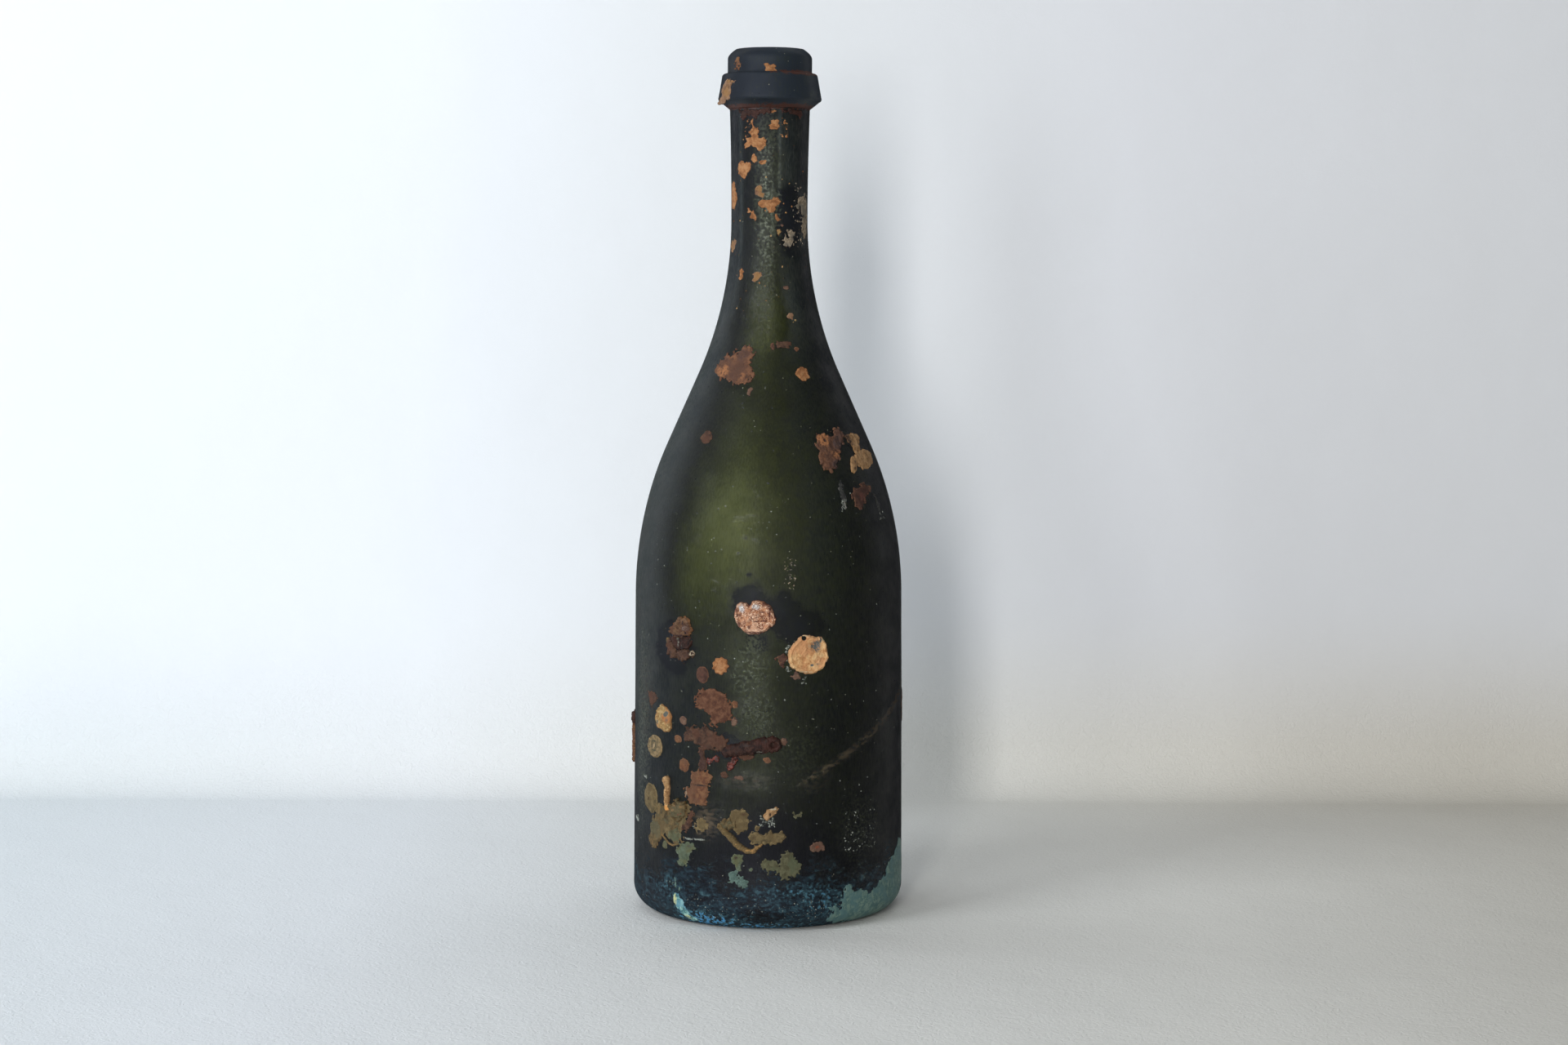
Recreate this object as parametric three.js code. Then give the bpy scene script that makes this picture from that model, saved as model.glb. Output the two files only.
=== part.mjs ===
// A hand-finished dark green wine bottle with a deep punt, a laid-on string rim and a tooled lip,
// and the shells, worm tubes and mineral crusts that grew on it under water.
// Millimetres, +Z up. The origin is the centre of the resting ring, and the front faces -Y.
import * as THREE from "three";
import { mergeVertices } from "three/addons/utils/BufferGeometryUtils.js";

// Driving dimensions of the bottle
const bodyRadius = 47.5; // at the heel, the widest place
const wallTaper = 0.7; // radius lost between the heel and the shoulder
const wallHeight = 110.7; // where the shoulder begins
const shoulderRadius = 129.5; // of the convex arc, seen from the side
const shoulderLean = THREE.MathUtils.degToRad(23.84); // of the straight slope between the two arcs
const throatRadius = 130.3; // of the hollow arc into the neck
const neckRadius = 13.3; // at the narrowest place
const neckFlare = 0.6; // radius gained from there up to the string rim
const neckLength = 38.2; // from the end of the hollow arc to the string rim
const glassWall = 4.4; // walls, shoulder and neck
const heelRadius = 8.5;
const restingWidth = 4; // of the flat ring that the bottle stands on
const puntDepth = 30;
const puntWall = 7; // glass over the top of the punt
const floorThickness = 8; // glass at the bottom of the trough round the punt
const troughRadius = 6; // between the trough and the wall, inside

// The finish: the neck's drawn-in end, the string rim laid round it and the lip over its end
const neckEndTaper = 1.7; // radius that the neck loses there
const neckEndCone = 3.6; // height over which the tool draws the neck in
const rimHeight = 12.1;
const rimReach = 4; // how far its lower edge stands out from the neck
const rimTopReach = 2.7;
const rimUndercut = 2.4; // rise of the underside from the neck to the edge
const rimRounding = 1.1;
const lipHeight = 8.4;
const lipReach = 2.45; // how far the lip stands out from the drawn-in neck
const lipBevelHeight = 3.2;
const lipBevelWidth = 2.75;
const lipOverlap = 5; // how far the lip comes down over the neck's end
const mouthRounding = 0.9;
const seam = 0.3; // clearance between pieces of glass
const bedding = 0.3; // clearance under a growth

// Facets
const turns = 56; // segments round the bottle
const outerSteps = 7; // along each arc of the bottle's side
const innerSteps = 4;
const tubeSides = 8;

// Heights that follow from the sizes above
const wallTopRadius = bodyRadius - wallTaper;
const arcShare = 1 - Math.cos(shoulderLean);
const slopeLength =
  (wallTopRadius - neckRadius - (shoulderRadius + throatRadius) * arcShare) /
  Math.sin(shoulderLean);
const neckFoot =
  wallHeight +
  (shoulderRadius + throatRadius) * Math.sin(shoulderLean) +
  slopeLength * Math.cos(shoulderLean);
const rimFoot = neckFoot + neckLength;
const rimTop = rimFoot + rimHeight;
const height = rimTop + lipHeight;
const neckTop = height - lipOverlap;
const neckTopRadius = neckRadius + neckFlare;
const boreRadius = neckRadius - glassWall;
const neckEndRadius = neckTopRadius - neckEndTaper;
const rimRadius = neckTopRadius + rimReach;
const rimTopRadius = neckTopRadius + rimTopReach;
const lipRadius = neckEndRadius + lipReach;

const at = (radius, z) => new THREE.Vector2(radius, z);

// Points of an arc about (radius, z), from one angle to another, measured from straight out.
function arc(radius, z, size, from, to, steps) {
  return Array.from({ length: steps + 1 }, (_, i) => {
    const angle = from + ((to - from) * i) / steps;
    return at(radius + size * Math.cos(angle), z + size * Math.sin(angle));
  });
}

// The bottle's side from the foot of the wall to the neck, set in from the outside by `inset`.
function sideOutline(inset, foot, steps) {
  const shoulderSize = shoulderRadius - inset;
  const throatSize = throatRadius + inset;
  const top = at(wallTopRadius - inset, wallHeight);
  return [
    at(bodyRadius - inset, foot),
    ...arc(top.x - shoulderSize, top.y, shoulderSize, 0, shoulderLean, steps),
    ...arc(
      neckRadius - inset + throatSize,
      neckFoot,
      throatSize,
      Math.PI + shoulderLean,
      Math.PI,
      steps,
    ),
  ];
}

// Half a wave: 1 on the axis, falling smoothly to 0 at `radius`.
const bell = (distance, radius) =>
  0.5 + 0.5 * Math.cos((Math.PI * distance) / radius);

// A punt surface from the axis out to `radius`, `base` high there and `rise` higher on the axis.
function punt(radius, base, rise, steps) {
  return Array.from({ length: steps + 1 }, (_, i) => {
    const distance = (radius * i) / steps;
    return at(distance, base + rise * bell(distance, radius));
  });
}

// Revolves an outline of (radius, z) points that runs upwards on the outside of the piece.
function turned(outline) {
  const lathe = new THREE.LatheGeometry(outline, turns);
  return lathe.rotateX(Math.PI / 2);
}

const restingInner = bodyRadius - heelRadius - restingWidth;
const heel = arc(bodyRadius - heelRadius, heelRadius, heelRadius, -Math.PI / 2, 0, 5);
const side = sideOutline(0, heelRadius, outerSteps);
const neckSide = [
  at(neckRadius + neckFlare / 4, neckFoot + neckLength / 2),
  at(neckTopRadius, rimFoot),
];
const glassOutline = [...side, ...neckSide];

function blownBody() {
  const innerFoot = floorThickness + troughRadius;
  const trough = bodyRadius - glassWall - troughRadius;
  const inside = [
    ...sideOutline(glassWall, innerFoot, innerSteps).reverse(),
    ...arc(trough, innerFoot, troughRadius, 0, -Math.PI / 2, 4).slice(1),
    ...punt(trough, floorThickness, puntDepth + puntWall - floorThickness, 6)
      .reverse()
      .slice(1),
  ];
  return turned([
    ...punt(restingInner, 0, puntDepth, 8),
    ...heel,
    ...side.slice(1),
    ...neckSide,
    at(neckEndRadius, rimFoot + neckEndCone),
    at(neckEndRadius, neckTop),
    at(boreRadius, neckTop),
    ...inside,
  ]);
}

const rimEdge = rimFoot + rimUndercut;
const rimOutline = [
  at(rimRadius, rimEdge + rimRounding),
  at(rimTopRadius, rimTop - rimRounding),
];

function stringRim() {
  const hole = neckEndRadius + seam;
  const closed = at(hole, rimTop);
  return turned([
    closed,
    at(hole, rimFoot + neckEndCone + seam),
    at(neckTopRadius + seam, rimFoot),
    ...arc(rimRadius - rimRounding, rimEdge + rimRounding, rimRounding, -1.2, 0, 3),
    ...arc(rimTopRadius - rimRounding, rimTop - rimRounding, rimRounding, 0.15, Math.PI / 2, 3),
    closed,
  ]);
}

const lipOutline = [at(lipRadius, rimTop), at(lipRadius, height - lipBevelHeight)];

function lipRing() {
  const hole = neckEndRadius + seam;
  const shelf = neckTop + seam;
  const closed = at(hole, rimTop);
  return turned([
    closed,
    ...lipOutline,
    at(lipRadius - lipBevelWidth, height),
    ...arc(boreRadius + mouthRounding, height - mouthRounding, mouthRounding, Math.PI / 2, Math.PI, 3),
    at(boreRadius, shelf),
    at(hole, shelf),
    closed,
  ]);
}

// Radius and lean of an outer surface at a height
function surface(outline, z) {
  let i = 1;
  while (i < outline.length - 1 && outline[i].y < z) i += 1;
  const [low, high] = [outline[i - 1], outline[i]];
  const slope = (high.x - low.x) / (high.y - low.y);
  return { radius: low.x + slope * (z - low.y), lean: Math.atan(slope) };
}

// A point `lift` above the glass, `across` millimetres round from the front line at height `middle`.
function onGlass(outline, middle, across, z, lift) {
  const bearing = across / surface(outline, middle).radius;
  const { radius, lean } = surface(outline, z);
  const reach = radius + lift / Math.cos(lean);
  return new THREE.Vector3(reach * Math.sin(bearing), -reach * Math.cos(bearing), z);
}

// A closed skin over rings with equal numbers of points, from one end point to the other.
function closedLoft(first, rings, last) {
  const count = rings[0].length;
  const points = [first, ...rings.flat(), last];
  const faces = [];
  for (let i = 0; i < count; i += 1) {
    const next = (i + 1) % count;
    faces.push(0, 1 + next, 1 + i);
    for (let ring = 0; ring < rings.length - 1; ring += 1) {
      const [a, b] = [1 + ring * count + i, 1 + ring * count + next];
      faces.push(a, b, b + count, a, b + count, a + count);
    }
    const top = 1 + (rings.length - 1) * count;
    faces.push(points.length - 1, top + i, top + next);
  }
  const geometry = new THREE.BufferGeometry().setFromPoints(points);
  geometry.setIndex(faces);
  return geometry;
}

// How far a ray from the growth's middle runs before it leaves its last lobe.
// A lobe is [across, up, half width, half height].
function reachOfLobes(lobes, angle) {
  const [dx, dz] = [Math.cos(angle), Math.sin(angle)];
  const exits = lobes.map(([x, z, width, rise]) => {
    const a = (dx / width) ** 2 + (dz / rise) ** 2;
    const b = (dx * x) / width ** 2 + (dz * z) / rise ** 2;
    const c = (x / width) ** 2 + (z / rise) ** 2 - 1;
    const root = b * b - a * c;
    return root < 0 ? 0 : (b + Math.sqrt(root)) / a;
  });
  return Math.max(...exits);
}

// The forms a growth takes, as shares of its thickness at its edge, half way in and at its middle
const plate = [0.75, 1, 1];
const dome = [0.35, 0.85, 1];
const dish = [0.6, 1, 0.7];
const halfWay = 0.5;

// A crust or shell that follows the glass: its lobes make its outline, and its edge is crinkled.
function crust({ outline, across, up, thick, form, lobes, turn = 0, crinkle = 0.04, points = 18 }) {
  const lean = THREE.MathUtils.degToRad(turn);
  const ring = (share, lift) =>
    Array.from({ length: points }, (_, i) => {
      const angle = (2 * Math.PI * i) / points;
      const reach = share * reachOfLobes(lobes, angle) * (1 + crinkle * Math.sin(5 * angle + across));
      const x = across + reach * Math.cos(angle + lean);
      const z = up + reach * Math.sin(angle + lean);
      return onGlass(outline, up, x, z, bedding + lift);
    });
  const middle = (lift) => onGlass(outline, up, across, up, bedding + lift);
  const [edge, between, centre] = form.map((share) => share * thick);
  return closedLoft(
    middle(0),
    [ring(halfWay, 0), ring(1, 0), ring(1, edge), ring(halfWay, between)],
    middle(centre),
  );
}

// A worm's tube cemented along the glass: round above, flat below, through [across, up, radius] points.
function wormTube({ outline, path, steps }) {
  const route = new THREE.CatmullRomCurve3(path.map((p) => new THREE.Vector3(...p)), false, "centripetal");
  const middle = path[Math.floor(path.length / 2)][1];
  const embedded = 0.4; // of the radius, between the tube's centre and the glass
  const rings = route.getSpacedPoints(steps).map((point, i) => {
    const ahead = route.getTangentAt(i / steps);
    const length = Math.hypot(ahead.x, ahead.y);
    const [sideX, sideZ] = [-ahead.y / length, ahead.x / length];
    return Array.from({ length: tubeSides }, (_, k) => {
      const angle = (2 * Math.PI * (k + 0.5)) / tubeSides;
      const out = point.z * Math.cos(angle);
      const lift = Math.max(point.z * (Math.sin(angle) + embedded), 0);
      return onGlass(outline, middle, point.x + sideX * out, point.y + sideZ * out, bedding + lift);
    });
  });
  const centre = (ring) =>
    ring.reduce((sum, p) => sum.add(p), new THREE.Vector3()).divideScalar(ring.length);
  return closedLoft(centre(rings[0]), rings, centre(rings.at(-1)));
}

// Heights are measured from the foot of the zone that a growth sits in, so that it stays on it.
const onWall = { outline: glassOutline, foot: 0 };
const onShoulder = { outline: glassOutline, foot: wallHeight };
const underRim = { outline: glassOutline, foot: rimFoot };
const onRim = { outline: rimOutline, foot: rimFoot };
const onLip = { outline: lipOutline, foot: rimTop };

// Colours of the growths
const rust = { color: 0x6e4331, roughness: 0.9 };
const darkRust = { color: 0x4f2f26, roughness: 0.85 };
const orange = { color: 0xa5714a, roughness: 0.9 };
const ochre = { color: 0x93713f, roughness: 0.85 };
const tan = { color: 0x85714d, roughness: 0.9 };
const olive = { color: 0x66664a, roughness: 0.9 };
const greyGreen = { color: 0x65766a, roughness: 0.9 };
const shellPink = { color: 0xb98f77, roughness: 0.7 };
const shellBuff = { color: 0xc0935f, roughness: 0.75 };

const growths = {
  // Shells and crusts on the wall
  oyster_scar: {
    zone: onWall, across: -4.3, up: 107.9, thick: 2.4, form: dish, finish: shellPink, points: 24,
    lobes: [[-4.3, 0.7, 3.2, 4.3], [2.1, -0.1, 5.4, 5.6]],
  },
  barnacle_disc: {
    zone: onWall, across: 13.8, up: 95.1, thick: 2, form: dish, finish: shellBuff, points: 24,
    lobes: [[0, -0.3, 6.7, 6.6], [3.9, 3.6, 2.7, 2.9]],
  },
  bronze_scale: {
    zone: onWall, across: 4.8, up: 93.1, thick: 0.8, form: plate, finish: rust, points: 12,
    lobes: [[0, 0.4, 1.8, 1.7], [0.3, -0.9, 1.1, 1.4]],
  },
  knob_crust: {
    zone: onWall, across: -31.5, up: 103.2, thick: 2.3, form: dome, finish: tan,
    lobes: [[-1.6, -0.9, 3, 1.9], [0.6, 1, 2, 2.1], [2.6, -0.4, 2.2, 1.7]],
  },
  horn_crust: {
    zone: onWall, across: -29.8, up: 93.3, thick: 1.5, form: dome, finish: rust,
    lobes: [[-1.7, -0.3, 2.4, 1.9], [2.4, 0.5, 1.6, 1.3]],
  },
  round_disc: {
    zone: onWall, across: -16.3, up: 90.9, thick: 1, form: plate, finish: orange,
    lobes: [[0, 0, 2.9, 2.9]], crinkle: 0.08,
  },
  red_oval: {
    zone: onWall, across: -22.8, up: 87.2, thick: 0.9, form: plate, finish: rust,
    lobes: [[0, 0.3, 2.5, 2.9], [0.3, -1.2, 1.8, 2]],
  },
  great_red_disc: {
    zone: onWall, across: -18.6, up: 76.7, thick: 1, form: plate, finish: rust, points: 24,
    lobes: [[-1.2, 2.6, 5.4, 3.5], [2.2, 0.7, 4.4, 4.7], [3, -3.2, 3.5, 3], [0.6, -4.6, 2.4, 1.8]],
  },
  orange_oval: {
    zone: onWall, across: -40.1, up: 70.8, thick: 1.8, form: dome, finish: ochre,
    lobes: [[-0.9, 2, 3, 3], [0, -0.3, 4.1, 3.2], [1.3, -2.4, 2.9, 2.5]],
  },
  grey_oval: {
    zone: onWall, across: -45.1, up: 60.6, thick: 1.5, form: dish, finish: tan,
    lobes: [[-1, 1.3, 3.4, 2.9], [0.4, -0.6, 4.2, 3], [1.2, -2, 2.8, 2.2]],
  },
  brown_mat: {
    zone: onWall, across: -22, up: 65.8, thick: 1, form: plate, finish: rust, points: 24,
    lobes: [[-3.7, 1.2, 3.6, 3], [1.5, 0.7, 4.2, 3.3], [4.8, -2.1, 3.2, 2.5]],
  },
  fat_tube: {
    zone: onWall, across: -5.2, up: 63, thick: 2.6, form: dome, finish: darkRust, points: 24, turn: 9,
    lobes: [[5.2, 0.1, 3, 2.9], [0, 0, 7, 2.4], [-4.5, -0.1, 3.5, 2.1]],
  },
  red_spur: {
    zone: onWall, across: -12.3, up: 56.3, thick: 1.2, form: dome, finish: darkRust, points: 14,
    lobes: [[0.9, 1.2, 1.3, 1.6], [-0.6, -1, 1.5, 1.6]],
  },
  red_link: {
    zone: onWall, across: -22.8, up: 58.6, thick: 0.9, form: dome, finish: darkRust, points: 14,
    lobes: [[0, 1.5, 1, 2.2], [0, -1.4, 1.4, 1.6]],
  },
  tan_crust: {
    zone: onWall, across: -24.8, up: 48.8, thick: 1.2, form: plate, finish: orange, points: 24,
    lobes: [[1.4, 3.2, 4.1, 2.8], [-0.5, -2, 4.9, 3.8]],
  },
  side_disc: {
    zone: onWall, across: -30.4, up: 55.9, thick: 0.9, form: plate, finish: orange, points: 14,
    lobes: [[0, 0, 2.2, 2.4]],
  },
  long_oval: {
    zone: onWall, across: -47.8, up: 42, thick: 1.4, form: dome, finish: tan,
    lobes: [[-0.5, 1.5, 4.2, 4.4], [1, -2, 3.4, 3.8]],
  },
  nodule: {
    zone: onWall, across: -32.6, up: 40.2, thick: 2.2, form: dome, finish: ochre,
    lobes: [[-1.6, -0.4, 1.9, 2.4], [1, 0.8, 2.4, 2.5], [1.1, -1.4, 2.1, 1.8]], crinkle: 0.08,
  },
  left_mat: {
    zone: onWall, across: -45.3, up: 30.3, thick: 1.2, form: plate, finish: olive,
    lobes: [[-0.3, 2.6, 2.9, 2.6], [0.4, -2, 3.2, 3]],
  },
  slanting_mat: {
    zone: onWall, across: -38.5, up: 35.4, thick: 1.1, form: plate, finish: olive,
    lobes: [[-2.4, 1.2, 2.2, 2], [0.6, -0.6, 2.8, 1.9], [3.2, -2, 2.2, 1.6]],
  },
  red_mat: {
    zone: onWall, across: -28.1, up: 36.5, thick: 0.8, form: plate, finish: rust,
    lobes: [[1.1, 1.6, 1.5, 2.2], [-0.5, -2, 2.3, 2.6]],
  },
  hanging_mat: {
    zone: onWall, across: -29.2, up: 25.1, thick: 0.8, form: plate, finish: greyGreen,
    lobes: [[0.3, 1.8, 3.4, 2.6], [-0.4, -2, 2.2, 2.4]],
  },
  olive_mat: {
    zone: onWall, across: -9.5, up: 38.1, thick: 1.2, form: plate, finish: olive, points: 24,
    lobes: [[-0.4, 1.6, 3.7, 2.6], [0.8, -1.4, 2.8, 2.7], [-4.2, -1, 2.2, 1.8]],
  },
  twin_mat: {
    zone: onWall, across: 0.1, up: 32.7, thick: 1, form: plate, finish: olive, points: 24,
    lobes: [[-4, -0.2, 1.9, 1.7], [-1.5, -0.2, 1.6, 1.2], [2, 0.1, 3.9, 2.2]],
  },
  shell_chip: {
    zone: onWall, across: 1.7, up: 40.8, thick: 1.2, form: dome, finish: shellBuff, points: 14, turn: 40,
    lobes: [[0, 0, 3.3, 1.2], [-0.9, -0.3, 1.9, 1.5]],
  },
  three_lobed_mat: {
    zone: onWall, across: 5.2, up: 23.3, thick: 0.9, form: plate, finish: olive, points: 24,
    lobes: [[3, 0, 4.1, 4.7], [-4.2, -0.2, 3.1, 2.5], [-1.1, -0.8, 2.5, 1.9]], crinkle: 0.06,
  },
  upper_pale_mat: {
    zone: onWall, across: -10.2, up: 23.9, thick: 0.7, form: plate, finish: greyGreen, points: 14,
    lobes: [[0, 1.1, 2.3, 2], [0.9, -2.3, 1.2, 1.5]],
  },
  lower_pale_mat: {
    zone: onWall, across: -9.9, up: 17.5, thick: 0.7, form: plate, finish: greyGreen,
    lobes: [[-1.6, 0.8, 2.4, 2.3], [1.8, -1, 2.3, 2.2]],
  },
  pink_disc: {
    zone: onWall, across: 17.4, up: 29, thick: 0.7, form: plate, finish: rust, points: 12,
    lobes: [[0, 0, 2.3, 1.8]],
  },
  edge_bump: {
    zone: onWall, across: -72.2, up: 67, thick: 1.5, form: dome, finish: darkRust, points: 14,
    lobes: [[0, 0, 2.4, 2.2]],
  },
  edge_ridge: {
    zone: onWall, across: -72, up: 57.6, thick: 1.3, form: dome, finish: rust,
    lobes: [[0, 3.4, 2.8, 2.6], [0.4, -1, 3.2, 3.6], [0, -4.2, 2.6, 2.4]],
  },
  far_edge_mat: {
    zone: onWall, across: 72, up: 71.5, thick: 0.6, form: plate, finish: rust,
    lobes: [[0, 0, 3.2, 5.6]],
  },

  // Crusts on the shoulder
  shoulder_mat: {
    zone: onShoulder, across: -12.1, up: 81, thick: 1.2, form: plate, finish: rust, points: 24,
    lobes: [[-0.3, -2.6, 6.8, 3.9], [4.2, 3.2, 2.6, 3.8], [-2.8, 1.6, 2, 3.4]],
  },
  shoulder_disc: {
    zone: onShoulder, across: 12.1, up: 78, thick: 1, form: plate, finish: orange, points: 14,
    lobes: [[0, 0, 2.6, 2.3]],
  },
  shoulder_bar: {
    zone: onShoulder, across: 5.2, up: 88, thick: 0.7, form: plate, finish: tan, points: 14,
    lobes: [[-1.2, 0.3, 1.9, 0.9], [1.2, -0.2, 1.9, 1.1]],
  },
  shoulder_round: {
    zone: onShoulder, across: -22.7, up: 56.4, thick: 0.7, form: plate, finish: rust, points: 14,
    lobes: [[0, 0, 2.5, 2.3]],
  },
  right_mat: {
    zone: onShoulder, across: 22, up: 52.1, thick: 1.3, form: plate, finish: rust, points: 24,
    lobes: [[-2, 3.4, 2.7, 2.6], [2.5, 1.9, 3.2, 2.3], [1, -2.6, 3.6, 3.7]], crinkle: 0.06,
  },
  right_arch: {
    zone: onShoulder, across: 33, up: 54.6, thick: 1.2, form: plate, finish: tan,
    lobes: [[-1.6, -1.2, 2.3, 2.8], [2.4, 0.2, 2.2, 2.6], [-3.6, 2.9, 3, 1.4]],
  },
  right_tan_mat: {
    zone: onShoulder, across: 40.9, up: 48.4, thick: 1.1, form: plate, finish: tan,
    lobes: [[-1.6, 0.8, 3.2, 2.6], [1.8, -1.4, 3.6, 2.4]],
  },
  right_drop: {
    zone: onShoulder, across: 33.4, up: 46.2, thick: 0.9, form: dome, finish: ochre, points: 14,
    lobes: [[0, 0.6, 1.7, 2.3], [0.2, -1.4, 1.4, 1.5]],
  },
  right_red_mat: {
    zone: onShoulder, across: 35.6, up: 36.5, thick: 0.8, form: plate, finish: darkRust,
    lobes: [[-1.6, -0.8, 3.4, 3.4], [1.8, 1.4, 3.2, 2.6]],
  },

  // Flakes on the neck, measured down from the string rim
  neck_spindle: {
    zone: underRim, across: -4.9, up: -9, thick: 0.7, form: plate, finish: orange, points: 24,
    lobes: [[0.6, -3, 3.6, 2.5], [-2.7, -3, 1.5, 1.9], [-0.3, 1.8, 1.4, 4], [-2.2, 0.6, 0.9, 1.1]],
  },
  neck_square: {
    zone: underRim, across: 1.8, up: -5.7, thick: 0.6, form: plate, finish: orange, points: 12,
    lobes: [[-0.4, 0, 1.6, 2], [0.5, 0.2, 1.6, 1.7]],
  },
  neck_shield: {
    zone: underRim, across: -9.5, up: -21, thick: 0.7, form: plate, finish: orange,
    lobes: [[-0.9, 0.6, 2.2, 2.6], [1, -0.2, 2, 2.4], [0, -1.6, 1.6, 1.6]],
  },
  neck_tan_flake: {
    zone: underRim, across: -3.8, up: -28.3, thick: 0.6, form: plate, finish: tan, points: 14,
    lobes: [[0, 0.4, 1.9, 2.2], [0, -0.9, 2.1, 1.2]],
  },
  neck_wing: {
    zone: underRim, across: 0, up: -33.4, thick: 0.7, form: plate, finish: orange,
    lobes: [[-2.2, 0.8, 2, 1.4], [0.4, -0.8, 2.4, 2.2], [2.8, 1.8, 1.5, 1.9]],
  },
  neck_edge_flake: {
    zone: underRim, across: -15.6, up: -29.7, thick: 0.6, form: plate, finish: orange,
    lobes: [[-0.4, 2, 2.4, 3], [0.6, -1.6, 2.8, 3.2]],
  },
  neck_low_flake: {
    zone: underRim, across: -6.2, up: -36.6, thick: 0.6, form: plate, finish: orange, points: 14,
    lobes: [[-1, 1.2, 1, 1.3], [0.6, -0.7, 1.3, 1.7]],
  },
  neck_grey_mat: {
    zone: underRim, across: 7.2, up: -44.9, thick: 0.7, form: plate, finish: tan,
    lobes: [[1, 0.8, 2.2, 2], [-1.2, -1.2, 2, 2]],
  },
  neck_right_mat: {
    zone: underRim, across: 13.8, up: -37.4, thick: 0.8, form: plate, finish: tan, points: 24,
    lobes: [[-1, 4.5, 3, 3.6], [1.8, 0, 2.8, 6.4], [0.8, -5, 2.6, 2.8]],
  },
  neck_foot_flake: {
    zone: underRim, across: -4.1, up: -57.8, thick: 0.6, form: plate, finish: orange, points: 12,
    lobes: [[0.2, 0.1, 1.8, 1.9]],
  },
  rust_left_of_rim: {
    zone: underRim, across: -5.1, up: -1.9, thick: 0.6, form: dome, finish: darkRust,
    lobes: [[-3.2, 0, 3.6, 1.4], [2.6, 0.3, 3.6, 1]],
  },
  rust_right_of_rim: {
    zone: underRim, across: 8.6, up: -1.8, thick: 0.6, form: dome, finish: darkRust,
    lobes: [[-2, 0.2, 2.6, 0.9], [1.6, -0.3, 2.6, 1.2]],
  },
  rim_flake: {
    zone: onRim, across: -18.8, up: 6.1, thick: 0.6, form: plate, finish: orange,
    lobes: [[0, 0.8, 2.6, 3], [-0.3, -1.2, 2.4, 1.8]],
  },
  lip_flake: {
    zone: onLip, across: 1.4, up: 2.2, thick: 0.6, form: plate, finish: orange, points: 14,
    lobes: [[-0.9, 0.2, 1.9, 1.7], [1.4, -0.7, 1.7, 0.9]],
  },
};

// Worm tubes, from the mouth to the tail: [across, up, radius] of their centre lines
const worms = {
  hooked_worm_tube: {
    zone: onWall, steps: 18,
    path: [[-17, 34.7, 0.9], [-15.3, 33.2, 1.15], [-12.6, 31.1, 1.15], [-10.2, 28.9, 1], [-7.8, 27.7, 0.85],
      [-5.4, 27.4, 0.7], [-3.1, 28.4, 0.55], [-1.3, 29.9, 0.4]],
  },
  upright_worm_tube: {
    zone: onWall, steps: 9,
    path: [[-38.5, 49.7, 1.4], [-38, 47.6, 1], [-38.1, 44.6, 1.1], [-38.4, 42, 1], [-37.9, 39.9, 0.8]],
  },
};

const bottle = new THREE.Group();

function add(name, geometry, { color, roughness, metalness = 0 }) {
  const material = new THREE.MeshStandardMaterial({ color, roughness, metalness });
  const solid = mergeVertices(geometry.deleteAttribute("normal").deleteAttribute("uv"), 1e-3);
  solid.computeVertexNormals();
  const mesh = new THREE.Mesh(solid, material);
  mesh.name = name;
  bottle.add(mesh);
}

const seaWornGreen = { color: 0x25301c, roughness: 0.45 };
add("glass_body", blownBody(), seaWornGreen);
add("string_rim", stringRim(), seaWornGreen);
add("lip_ring", lipRing(), seaWornGreen);

for (const [name, { zone, finish, up, ...growth }] of Object.entries(growths)) {
  add(name, crust({ ...growth, outline: zone.outline, up: zone.foot + up }), finish);
}
for (const [name, { zone, path, steps }] of Object.entries(worms)) {
  const raised = path.map(([across, up, radius]) => [across, zone.foot + up, radius]);
  add(name, wormTube({ outline: zone.outline, path: raised, steps }), ochre);
}

console.log(`height ${height.toFixed(2)} mm, bore ${(2 * boreRadius).toFixed(1)} mm`);

export default bottle;
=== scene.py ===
"""Looks of a sea-worn dark green wine bottle and of what grew on it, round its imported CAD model."""

import logging
import math
from dataclasses import dataclass
from enum import Enum
from functools import cache
from typing import Any, Iterable, Sequence

import bpy
import numpy as np
from mathutils import Euler, Matrix, Vector


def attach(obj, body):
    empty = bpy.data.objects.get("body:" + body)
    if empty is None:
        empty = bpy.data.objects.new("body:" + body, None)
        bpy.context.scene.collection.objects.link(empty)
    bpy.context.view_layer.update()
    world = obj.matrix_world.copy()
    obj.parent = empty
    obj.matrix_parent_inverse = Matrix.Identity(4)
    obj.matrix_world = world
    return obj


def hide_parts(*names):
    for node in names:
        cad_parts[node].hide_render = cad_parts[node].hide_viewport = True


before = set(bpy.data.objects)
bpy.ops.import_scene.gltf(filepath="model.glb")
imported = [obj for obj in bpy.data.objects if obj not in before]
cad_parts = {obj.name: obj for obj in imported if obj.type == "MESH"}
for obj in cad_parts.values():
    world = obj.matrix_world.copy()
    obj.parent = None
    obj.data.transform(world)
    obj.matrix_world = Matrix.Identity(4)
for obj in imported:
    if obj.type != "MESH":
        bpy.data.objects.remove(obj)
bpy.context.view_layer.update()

LOG = logging.getLogger("bottle")
MM = 0.001
Colour = tuple[int, int, int]
Shader = tuple[float, float, float, float]
Stops = tuple[tuple[float, Colour], ...]
Outline = Sequence[tuple[float, ...]]
Section = list[tuple[float, float, float]]


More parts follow.
